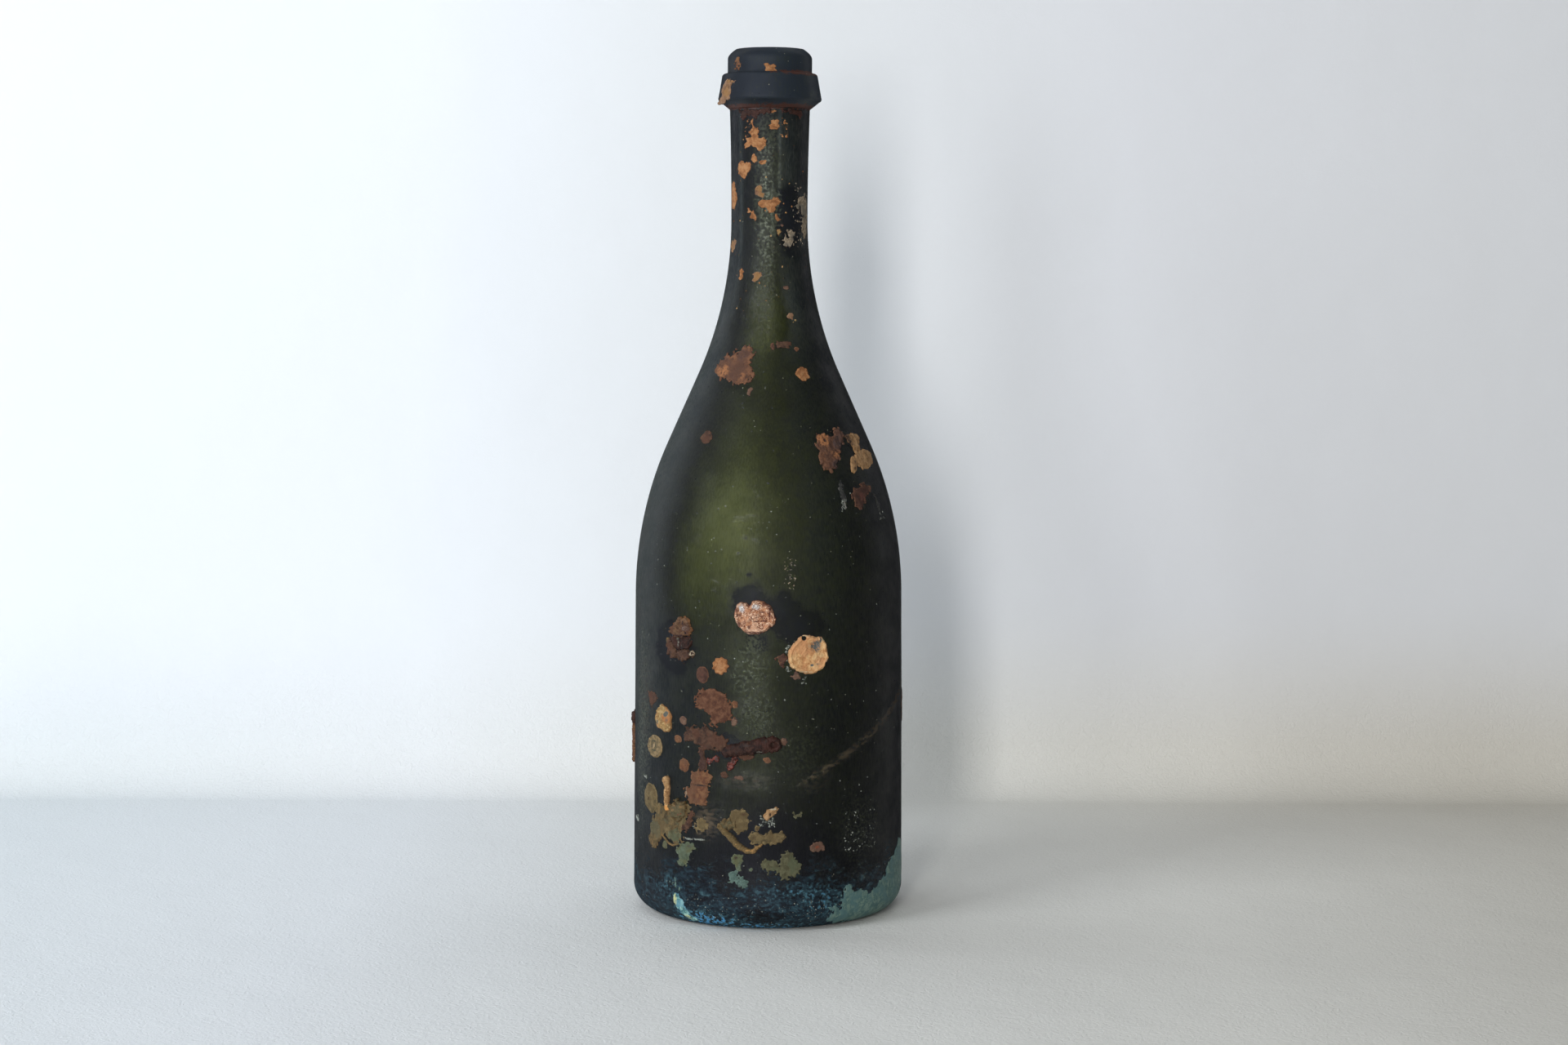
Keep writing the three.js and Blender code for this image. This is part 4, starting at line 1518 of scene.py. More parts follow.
@dataclass
class StringRim(TooledGlass):
    """The collar laid round the neck and tooled down."""

    name: str = "tooled_string_rim"
    node: str = "string_rim"
    front_steps: int = 110
    back_steps: int = 80
    seed: int = 11
    tool_depth: float = 0.16
    tooled_from: float = 14.0
    reach: float = 17.9
    top_reach: float = 16.6
    undercut: float = 2.4
    rounding: float = 1.1
    overlap: float = 0.05

    def outline(self) -> Section:
        """The collar's closed section.

        Returns:
            Radius, height and 1 for outside of each point.
        """
        foot, top, size = SHAPE.rim_foot, SHAPE.rim_top, self.rounding
        neck = SHAPE.neck_top_radius
        hole = SHAPE.neck_end_radius - self.overlap
        lower = arc(self.reach - size, foot + self.undercut + size, size, -1.25, 0, 7)
        upper = arc(self.top_reach - size, top - size, size, 0.12, math.pi / 2, 7)
        under = straight((neck - 0.1, foot - 0.25), lower[0], 6)
        side = straight(lower[-1], upper[0], 12)[1:]
        inner = [(hole, top), (hole, foot + SHAPE.neck_end_cone), (neck - 0.35, foot + 0.6)]
        return sided(inner, 0.0) + sided(under + lower + side + upper, 1.0)


@dataclass
class LipRing(TooledGlass):
    """The upper lip, laid over the neck's sheared end."""

    name: str = "tooled_lip"
    node: str = "lip_ring"
    front_steps: int = 100
    back_steps: int = 70
    seed: int = 21
    tool_depth: float = 0.12
    tooled_from: float = 6.0
    radius: float = 14.65
    bevel_height: float = 3.2
    bevel_width: float = 2.75
    mouth_rounding: float = 0.9
    overlap: float = 0.05

    def outline(self) -> Section:
        """The lip's closed section.

        Returns:
            Radius, height and 1 for outside of each point.
        """
        top, bore, size = SHAPE.height, SHAPE.bore, self.mouth_rounding
        hole = SHAPE.neck_end_radius - self.overlap
        shelf = top - SHAPE.lip_overlap - self.overlap
        bottom = SHAPE.rim_top - self.overlap
        edge = top - self.bevel_height
        wall = [(self.radius, bottom + (edge - bottom) * step / 6) for step in range(1, 7)]
        wide, high = self.bevel_width, self.bevel_height
        shares = [step / 8 for step in range(1, 9)]
        bevel = [(self.radius - wide * share**1.5, edge + high * share**0.85) for share in shares]
        mouth = arc(bore + size, top - size, size, math.pi / 2, math.pi, 6)
        corner = [(self.radius + 0.35, bottom), (self.radius + 0.1, bottom + 0.3)]
        outer = sided(corner + wall + bevel + mouth, 1.0)
        return [(hole, bottom, 0.0), *outer, (bore, shelf, 0.0), (hole, shelf, 0.0)]


@dataclass
class Specks:
    """Crumbs of lime and rust scattered over a stretch of the glass, as one piece."""

    name: str
    finish: CrustFinish
    low: tuple[float, float]
    high: tuple[float, float]
    count: int
    smallest: float
    largest: float
    sides: int = 7
    sink: float = 0.12

    def build(self) -> bpy.types.Object:
        """Makes the crumbs, each a low closed dome of its own.

        Returns:
            The object.
        """
        rng = np.random.default_rng(sum(map(ord, self.name)))
        points, faces = [], []
        sides = self.sides
        for _ in range(self.count):
            across, up = (rng.uniform(self.low[side], self.high[side]) for side in range(2))
            size = self.smallest + (self.largest - self.smallest) * rng.random() ** 3
            turn = rng.uniform(0, 2 * math.pi)
            angles = turn + np.arange(sides) * 2 * math.pi / sides
            reach = size * rng.uniform(0.65, 1.25, sides)
            start = len(points) + 1
            rows = [(0.0, 0.0, -self.sink)]
            for share, lift in ((1.0, -self.sink), (1.0, 0.02), (0.62, 0.3 * size)):
                ring = zip(share * reach * np.cos(angles), share * reach * np.sin(angles))
                rows += [(x, y, lift) for x, y in ring]
            rows.append((0.0, 0.0, 0.42 * size))
            flat = np.array(rows)
            placed = Seat.GLASS.place(across + flat[:, 0], up + flat[:, 1], flat[:, 2], up)
            points += placed.tolist()
            for k in range(sides):
                after = (k + 1) % sides
                faces.append((start - 1, start + after, start + k))
                for ring_start in (start, start + sides):
                    a, b = ring_start + k, ring_start + after
                    faces.append((a, b, b + sides, a + sides))
                last = start + 2 * sides
                faces.append((len(points) - 1, last + k, last + after))
        facts = {key: np.zeros(len(points)) for key in ("rim", "relief", "mark")}
        return dressed(made_object(self.name, np.array(points), faces, facts), self.finish)


ON_THE_WALL = (
    # The oyster's two white marks, at its upper left and its top, are painted glints over the shell's
    # pale layer.
    Growth("oyster_scar", Habit.OYSTER, OYSTER, (-4.2, 107.7), trace("-69,21 -64,41 -50,50 -33,50 "
        "-22,45 -16,41 -11,56 3,57 20,57 33,53 50,40 61,26 69,1 72,-7 67,-21 56,-32 42,-43 28,-51 "
        "9,-56 -13,-57 -32,-52 -46,-41 -58,-33 -63,-20 -72,8"), 1.9, 0.07, spots("-44,30,12,15,8 "
        "3,36,13,10,10 -18,46,6,9,-10,8 -59,23,7,8,-8,4 -54,9,7,6,-6 32,47,13,8,-6 50,34,13,10,-6 "
        "66,8,5,12,-7 -19,-32,6,8,-6,2 -6,-50,17,5,-8,2 18,-51,12,5,-7 -29,-46,8,6,-6,2 "
        "-51,-24,6,10,-6 49,8,3.5,18,-8,2 31,-11,15,3,-7,1.5 4,-13,14,3,-6,1.5 24,18,15,3,-6,1")),
    Growth("barnacle_disc", Habit.BARNACLE, BARNACLE, (14.1, 95), trace("-69,19 -55,36 -44,47 "
        "-33,60 -16,65 -1,67 13,61 25,54 37,60 49,57 58,42 64,28 67,9 72,-11 67,-25 58,-35 55,-43 "
        "43,-54 25,-64 5,-67 -18,-65 -35,-56 -49,-50 -61,-44 -69,-30 -72,-11"), 1.4, 0.08,
        spots("-17,54,7,6,-10,13 22,27,19,21,-9,2.5 26,22,5,12,-6,2 9,-36,6,4,-9,1 29,-33,10,4,-4 "
        "-12,62,14,4,5 50,52,6,12,5 40,50,3.5,10,-9,3 1,28,4,12,6 60,-30,7,18,-4 -15,-58,30,4,4")),
    Growth("bronze_scale", Habit.MAT, BROWN, (4.8, 93), trace("-17,9 -10,20 4,20 17,14 15,-5 4,-20 "
        "-7,-8"), 0.4),
    Growth("scar_drop", Habit.MAT, BLUSH, (10, 88), trace("-17,-5 -9,12 3,14 11,3 17,-6 8,-14 "
        "-6,-14"), 0.2),
    Growth("knob_crust", Habit.CRAG, KNOB, (-31.5, 102.9), trace("-51,-20 -42,3 -24,22 -6,34 19,34 "
        "35,20 43,5 51,-5 41,-17 24,-29 5,-34 -18,-32 -38,-29"), 1.5, 0.25,
        spots("26,2,15,12,5.5,-2 22,-16,5,4,-10,3 12,16,4,10,-8,3 -2,-28,26,5,-7,2")),
    Growth("knob_stem", Habit.CRAG, DARK_RUST, (-31.8, 97.5), trace("-38,23 -4,21 30,27 44,16 46,1 "
        "35,-15 16,-21 -3,-27 -21,-19 -31,-5 -46,5"), 0.9, 0.25, spots("-6,0,3,14,7 9,-8,3,8,6 "
        "-10,16,4,3,8")),
    Growth("horn_crust", Habit.CRAG, DUSKY, (-29.9, 93.5), trace("-42,6 -22,20 0,25 15,17 29,20 "
        "42,11 39,-1 23,-6 8,-14 -10,-25 -28,-19 -39,-7"), 1, 0.25, spots("30,10,9.5,8.5,10 "
        "31,10,3.5,3.5,-24,5 -15,-6,16,8,-2.5")),
    Growth("left_spur", Habit.CRAG, DUSKY, (-36.6, 95.6), trace("-21,26 -4,36 2,19 11,7 24,-9 "
        "19,-28 0,-36 -17,-18 -24,4"), 0.7),
    Growth("round_disc", Habit.DISC, ORANGE, (-16.3, 90.9), disc(5.8, 5.8, 9, 0.09), 0.5, 0.06,
        spots("0,0,18,18,-2")),
    Growth("red_oval", Habit.DISC, BROWN, (-22.9, 87.4), trace("-25,1 -21,21 -4,30 14,26 25,10 "
        "24,-10 8,-30 -4,-28 -20,-15"), 0.45, 0.06, spots("2,2,3.5,5,4.5,1")),
    Growth("great_red_disc", Habit.MAT, RUST, (-18.7, 76.7), trace("-68,27 -59,42 -39,57 -15,63 "
        "7,60 30,53 45,43 60,24 68,7 68,-12 68,-31 54,-40 37,-52 16,-62 -5,-63 -14,-55 -11,-38 "
        "-14,-27 -36,-18 -55,-11 -68,2"), 0.45, 0.35),
    Growth("orange_oval", Habit.CRAG, PALE_ORANGE, (-40.2, 70.9), trace("-42,-5 -38,15 -23,37 "
        "-9,47 13,41 30,26 42,11 38,-12 42,-29 30,-44 5,-47 -22,-39 -37,-24"), 1.1, 0.1,
        spots("18,17,10,10,-10,2 -28,-16,6,10,-6 26,-4,8,8,-5")),
    Growth("grey_oval", Habit.DISC, GREY_TAN, (-45.5, 60.6), trace("-45,-6 -39,17 -21,37 6,41 "
        "30,30 44,12 45,-14 31,-30 11,-41 -15,-36 -38,-22"), 0.75, 0.08, spots("-12,4,4.5,14,-10,1 "
        "12,2,4,14,-10,1 0,-14,12,4,-10,1 0,18,12,4,-8,1 0,0,5,8,8")),
    Growth("edge_streak", Habit.MAT, DUSKY, (-47.3, 76.7), trace("-34,22 -9,28 18,23 34,8 19,-11 "
        "-3,-28 -21,-13 -34,5"), 0.17),
    Growth("brown_mat", Habit.CRAG, DUSKY, (-22.2, 66), trace("-77,18 -70,30 -43,38 -23,32 -4,41 "
        "11,40 21,32 45,25 66,10 84,-6 102,-24 108,-42 88,-50 52,-40 30,-36 9,-41 -10,-40 -17,-24 "
        "-36,-23 -50,-16 -70,-17 -77,-4"), 0.6, 0.35),
    Growth("fat_tube", Habit.TUBE, DARK_RUST, (-5.2, 63), trace("74,17,27 45,15,28 10,9,25 "
        "-25,2,23 -60,-6,21 -86,-14,20"), 0.85, 0.5, spots("68,16,10,10,2.5 26,-8,14,3,8 "
        "48,32,3,10,-8 -20,14,16,5,-8"), spacing=0.25),
    Growth("red_spur", Habit.CRAG, RED_BEADS, (-12.2, 57.6), trace("6,25 20,26 20,9 9,-8 0,-22 "
        "-14,-26 -20,-15 -9,2"), 0.9),
    Growth("red_branch", Habit.MAT, RED_BEADS, (-18.8, 58.8), trace("-26,5 -7,7 17,14 26,6 17,-6 "
        "-7,-13 -23,-14"), 0.6),
    Growth("red_link", Habit.CRAG, BROWN, (-22.5, 58.4), trace("-17,41 -5,42 5,26 8,6 17,-13 "
        "14,-32 2,-42 -14,-37 -17,-18 -11,5 -17,24"), 0.7, 0.15, spots("0,0,30,60,-4")),
    Growth("tan_crust", Habit.MAT, TERRACOTTA, (-24.9, 49), trace("-26,42 -9,57 16,57 38,61 54,46 "
        "57,32 48,12 42,3 42,-42 36,-56 11,-61 -19,-61 -36,-52 -57,-26 -50,-9 -29,2 -26,16"), 0.5,
        0.3, spots("2,6,34,3,-13,2.5 -9,-32,8,22,-4 -44,-24,7,26,3.5")),
    Growth("side_disc", Habit.DISC, TERRACOTTA, (-30.4, 55.9), disc(4.4, 4.8), 0.45, 0.08),
    Growth("long_oval", Habit.DOME, SAND, (-48.5, 41.9), trace("-47,1 -40,28 -14,52 15,54 36,40 "
        "47,19 47,-9 37,-34 16,-54 -19,-37 -40,-21"), 0.9, 0.1, spots("0,0,5,6,-9,2 "
        "10,36,20,10,-4")),
    Growth("left_mat", Habit.MAT, OCHRE, (-45.3, 30.2), trace("-33,20 -17,46 15,51 34,31 39,3 "
        "30,-21 5,-48 -27,-51 -39,-27"), 0.37, 0.25, spots("-16,-32,12,12,4")),
    Growth("slanting_mat", Habit.CRAG, OCHRE, (-38.2, 37), trace("-61,19 -33,35 -6,28 19,11 43,-3 "
        "61,-14 58,-32 31,-35 3,-25 -28,-15 -56,-2"), 0.6),
    Growth("nodule", Habit.CRAG, OCHRE, (-32.8, 40.2), trace("-39,1 -23,23 -1,34 25,31 39,16 39,-7 "
        "25,-25 0,-34 -23,-28 -39,-16"), 1.3, 0.4, spots("8,-14,3,3,-12 19,-9,2.5,2.5,-12 "
        "-6,14,10,6,6 16,14,8,5,5 -18,-2,8,6,5")),
    Growth("low_mat", Habit.MAT, OLIVE, (-34.8, 31.4), trace("-27,4 -7,21 16,27 27,15 27,-11 "
        "12,-27 -11,-27 -27,-15"), 0.24),
    Growth("red_mat", Habit.CRAG, DUSKY, (-28.9, 36.6), trace("-13,-6 0,18 14,40 24,38 21,12 "
        "18,-13 4,-35 -13,-40 -24,-24"), 0.5),
    Growth("tan_haze_mat", Habit.FILM, SAND, (-23, 35.9), trace("-26,5 -15,18 4,24 20,19 26,5 "
        "18,-14 -2,-26 -22,-18"), 0.08, 0.35),
    Growth("hanging_mat", Habit.MAT, PALE_GREEN, (-29.8, 25.2), trace("-37,24 -15,36 10,44 34,41 "
        "41,28 31,10 21,-8 10,-32 0,-44 -18,-44 -33,-29 -29,-9 -41,7"), 0.24, 0.25,
        spots("15,30,20,10,-3.5")),
    Growth("foot_oval", Habit.DISC, OLIVE, (-39.6, 27.1), disc(2.4, 3.0), 0.25, 0.1),
    Growth("olive_mat", Habit.MAT, SAND, (-10.9, 38.1), trace("-21,22 -7,37 13,41 36,39 50,33 "
        "47,19 53,3 42,-20 31,-34 11,-41 2,-27 -15,-22 -35,-29 -53,-13 -38,7"), 0.4, 0.25,
        spots("32,26,16,8,-5 34,38,12,3,9")),
    Growth("twin_mat", Habit.MAT, SAND, (-0.1, 32.8), trace("-61,-1 -53,19 -36,22 -19,14 -6,14 "
        "11,25 28,19 50,22 58,10 61,-6 47,-17 22,-20 3,-25 -16,-20 -36,-23 -52,-17"), 0.4, 0.25,
        spots("-43,0,10,11,-5,1")),
    Growth("small_oval", Habit.DISC, SAND, (-3.3, 35.9), disc(1.9, 2.2), 0.25, 0.1,
        spots("0,0,5,6,-6")),
    Growth("shell_chip", Habit.CRAG, TAN, (1.7, 40.8), trace("26,21 4,24 -15,15 -26,-1 -26,-15 "
        "-15,-24 -7,-10 4,-4 15,7"), 0.8, 0.15, spots("3,19,14,3.5,9 -6,0,4,6,-8,2")),
    Growth("three_lobed_mat", Habit.MAT, OLIVE, (5.3, 23.2), trace("-73,1 -59,21 -45,18 -31,23 "
        "-23,12 -6,6 -4,17 -9,32 -1,43 19,48 36,39 50,27 55,13 73,0 61,-10 61,-30 50,-38 19,-48 "
        "2,-42 -12,-27 -26,-16 -45,-24 -59,-13"), 0.35, 0.4),
    Growth("upper_pale_mat", Habit.MAT, PALE_GREEN, (-10.1, 24), trace("-23,18 -11,30 9,31 23,29 "
        "20,6 6,-8 17,-25 3,-31 -8,-12 -20,2"), 0.2, 0.15, spots("-3,16,8,6,-10,2")),
    Growth("lower_pale_mat", Habit.MAT, PALE_BLUE, (-9.9, 18.2), trace("-38,2 -30,22 -15,31 -1,27 "
        "2,10 21,11 38,-3 38,-22 22,-31 2,-21 -12,-8 -33,-6"), 0.2),
    Growth("pink_disc", Habit.DISC, BLUSH, (17.4, 29), disc(5.0, 3.6), 0.4, 0.25,
        spots("0,0,7,6,-10")),
    Growth("edge_bump", Habit.DOME, DARK_RUST, (-72.2, 67), disc(4.8, 4.4), 1.3, 0.3),
    Growth("edge_ridge", Habit.CRAG, TERRACOTTA, (-72, 57.6), disc(6.4, 12.6), 0.9, 0.5),
    Growth("far_edge_mat", Habit.MAT, BROWN, (72, 71.5), disc(6.4, 11.4), 0.2, 0.6),
    Growth("hooked_worm_tube", Habit.TUBE, OLD_WORM, (-8.9, 32.1), trace("-73,40,11 -55,23,12 "
        "-31,1,12 -6,-24,11 23,-40,9 44,-39,8 58,-25,6 73,-16,4"), 1.15, 0.25,
        spots("-69,29,8,8,-4 30,-36,16,5,5 -10,-16,8,3,5"), spacing=0.18),
    Growth("upright_worm_tube", Habit.TUBE, WORM, (-38.2, 44.8), trace("-3,49,15 2,28,11 1,-2,12 "
        "-2,-28,10 3,-49,9"), 1.15, 0.3, spots("2,-46,12,9,9 0,44,16,6,-3"), spacing=0.18),
    Growth("dot_by_disc_upper", Habit.DISC, TERRACOTTA, (-11.1, 78), disc(2.3, 2.8), 0.3, 0.1),
    Growth("dot_by_disc_lower", Habit.DISC, BLUSH, (-11.3, 72.1), disc(2.3, 2.8), 0.3, 0.1),
    Growth("dot_left_upper", Habit.DISC, BLUSH, (-30.7, 71.2), disc(2.9, 3.1), 0.3, 0.1),
    Growth("dot_left_lower", Habit.DISC, TERRACOTTA, (-33, 64.7), disc(3.2, 2.8), 0.3, 0.1),
    Growth("tube_tip_disc", Habit.DISC, BLUSH, (5.6, 65.6), disc(2.8), 0.3, 0.1),
    Growth("dot_under_tube", Habit.DISC, TERRACOTTA, (0, 59.2), disc(2.5), 0.25, 0.1),
    Growth("dot_over_mats", Habit.DISC, DUSKY, (-14.6, 53.8), disc(2.6, 2.0), 0.25, 0.1),
    Growth("streak_over_mats", Habit.MAT, BLUSH, (-9.6, 52.9), disc(3.4, 1.8), 0.14, 0.2),
    Growth("right_patina", Habit.FILM, PATINA, (47.8, 13), trace("183,130 142,127 124,107 98,86 "
        "43,65 27,42 24,20 -22,11 -42,-6 -63,-10 -83,-33 -96,-11 -128,-3 -155,-7 -173,26 -197,15 "
        "-211,-17 -214,-59 -234,-40 -266,-48 -258,-66 -238,-71 -268,-103 -203,-120 -45,-130 "
        "194,-130 267,-130 176,-52 268,7"), 0.07, 0.35, spacing=0.3, skirt=0.12),
    Growth("tube_shelf", Habit.MAT, DUSKY, (-7.1, 60.2), trace("-25,8 -5,11 19,10 27,1 15,-10 "
        "-9,-11 -27,-5"), 0.4, 0.2),
    Growth("spur_bit", Habit.MAT, OCHRE, (-38, 97.8), trace("-8,9 4,12 11,5 4,-7 -5,-12 -11,-4"),
        0.4, 0.1),
    Growth("worm_head", Habit.CRAG, OCHRE, (-14, 36.8), trace("-31,-6 -19,14 -4,21 13,21 28,11 "
        "31,-6 16,-18 -4,-21 -22,-17"), 0.9, 0.3),
    Growth("white_dash", Habit.MAT, LIME, (-25.9, 30.9), trace("-40,0 -16,0 14,2 34,6 40,1 32,-5 "
        "4,-3 -21,-5 -38,-6"), 0.2, 0.12),
    Growth("pale_trace", Habit.FILM, OLIVE, (10.3, 40.7), trace("-15,5 1,2 13,10 15,-7 -1,-10 "
        "-15,-8"), 0.06, 0.3, skirt=0.12),
    Growth("yellow_dot", Habit.DISC, PALE_GREEN, (-5.4, 21.9), trace("-7,3 3,7 7,-1 3,-7 -6,-6"),
        0.2, 0.05),
    Growth("foot_streak", Habit.FILM, TEAL, (-30.6, 6.2), trace("-50,39 -39,49 -20,50 -12,36 2,21 "
        "11,2 21,-15 38,-25 50,-41 16,-50 2,-38 -15,-24 -30,-5 -42,17"), 0.08, 0.14,
        spots("-36,26,8,22,10 10,-30,16,8,7"), skirt=0.12),
    Growth("foot_spot", Habit.FILM, PALE_BLUE, (-34.7, 13.8), trace("-19,12 -4,18 12,6 19,-13 "
        "8,-18 -7,-3"), 0.06, 0.5, skirt=0.12),
    Growth("teal_edge", Habit.FILM, PATINA, (58.9, 17.2), trace("62,38 7,34 -54,20 -81,-1 -85,-17 "
        "-39,-29 31,-38 85,-26"), 0.1, 0.3, spacing=0.28, skirt=0.14),
    Growth("edge_lime_low", Habit.MAT, LIME, (-61, 32.6), trace("-25,5 11,10 25,-3 12,-10 -15,-6"),
        0.2, 0.2),
    Growth("edge_lime_mid", Habit.MAT, LIME, (-52.1, 48.6), trace("-12,3 4,8 12,-4 -1,-8"), 0.2,
        0.15),
    Growth("thin_worm_tube", Habit.TUBE, OLD_WORM, (-37.4, 29.2), trace("-44,18,4 -24,4,4 -2,-12,4 "
        "20,-16,4 44,-8,3"), 0.9, 0.1, spacing=0.14),
    Growth("cluster_mat", Habit.MAT, SAND, (-37.2, 35.1), trace("-74,49 -44,60 -18,50 17,57 44,75 "
        "75,84 95,71 99,49 83,31 79,-3 59,-13 54,-35 60,-56 42,-70 18,-70 4,-54 -25,-45 -48,-65 "
        "-73,-84 -95,-77 -99,-51 -88,-22 -95,-1 -83,23"), 0.16, 0.4),
)

ON_THE_SHOULDER = (
    Growth("shoulder_mat", Habit.MAT, MIXED, (-12.4, 191.9), trace("-76,-19 -71,-2 -61,15 -50,29 "
        "-41,38 -21,35 -12,44 6,41 22,50 26,64 46,69 60,61 69,39 65,17 64,0 74,-16 76,-33 66,-46 "
        "60,-63 51,-69 10,-69 -6,-61 -21,-53 -37,-57 -55,-46 -69,-32"), 0.4, 0.4,
        spots("-34,-24,30,26,5 30,30,26,24,-5 40,-40,20,14,3")),
    Growth("shoulder_disc", Habit.DISC, ORANGE, (11.9, 188.7), trace("-21,7 -9,21 9,23 21,18 23,1 "
        "26,-13 13,-21 -3,-23 -19,-15 -26,-1"), 0.45, 0.15, spots("0,0,30,30,-2")),
    Growth("shoulder_bar", Habit.MAT, DUSKY, (5, 198.5), trace("-29,0 -14,8 6,11 27,8 29,-3 13,-11 "
        "-10,-11 -24,-11"), 0.2),
    Growth("shoulder_bar_crumb", Habit.MAT, TERRACOTTA, (9.6, 196.8), disc(1.8, 1.6), 0.14, 0.2),
    Growth("shoulder_bar_end", Habit.MAT, BROWN, (1.2, 197.8), disc(1.3, 2.2), 0.14, 0.2),
    Growth("red_arc", Habit.MAT, BLUSH, (-6.2, 182.8), trace("-10,-11 -10,5 1,14 10,8 0,0 -2,-14"),
        0.17, 0.1),
    Growth("shoulder_dot", Habit.MAT, PEACH, (7.8, 208.3), trace("-14,5 0,13 14,5 8,-6 -3,-13 "
        "-13,-6"), 0.17, 0.15),
    Growth("shoulder_round", Habit.DISC, DUSKY, (-22.7, 167.1), disc(4.9, 4.6), 0.3, 0.15),
    Growth("right_mat", Habit.CRAG, MIXED, (24.1, 163.2), trace("-62,48 -46,56 -25,53 -13,47 15,65 "
        "40,72 56,61 70,44 54,22 32,4 19,-17 11,-39 -6,-60 -32,-72 -52,-66 -66,-47 -67,-25 -65,-1 "
        "-70,16"), 0.7, 0.3, spots("-38,32,24,22,11 -32,29,5,4.5,-30,5 23,16,24,26,-10 "
        "9,-18,30,16,5 3,-53,30,20,-10 54,56,30,20,-5 6,49,13,6,0,16")),
    Growth("right_arch", Habit.CRAG, TAN, (34.9, 164.6), trace("-43,29 -13,36 21,35 43,22 38,3 "
        "17,-21 -10,-36 -21,-22 -19,-2 -36,9"), 0.6, 0.15, spots("-34,10,20,40,-8")),
    Growth("right_tan_mat", Habit.CRAG, TAN, (41, 159.2), trace("-66,14 -21,31 25,34 54,22 66,1 "
        "47,-20 4,-31 -39,-34 -61,-19"), 0.6, 0.12),
    Growth("right_drop", Habit.DOME, TAN, (33.2, 157.5), trace("-4,27 16,28 21,12 14,-10 -8,-28 "
        "-21,-19 -16,2"), 0.6, 0.1, spots("-2,-11,4.5,4,-20 6,10,3,5,-15")),
    Growth("right_red_mat", Habit.MAT, BROWN, (37.1, 147.1), trace("-59,11 -43,26 -18,29 0,40 "
        "25,44 40,35 59,31 57,17 28,1 6,-9 -6,-26 -18,-43 -35,-44 -45,-37 -47,-20 -57,-6"), 0.3,
        0.3, spots("-10,0,16,24,4")),
    Growth("pale_scrape", Habit.FILM, SCRAPE, (27, 147.8), trace("-8,40 5,48 13,36 15,12 14,-16 "
        "7,-43 -2,-48 -3,-26 -11,2 -15,21"), 0.06, 0.25, spots("6,-30,4,18,8 -10,30,4,20,3"),
        skirt=0.12),
    Growth("side_scrape", Habit.FILM, SCRAPE, (46, 143.6), trace("-14,36 0,48 8,10 10,-30 2,-42 "
        "-6,-20 -8,6"), 0.05, 0.3, skirt=0.12),
)

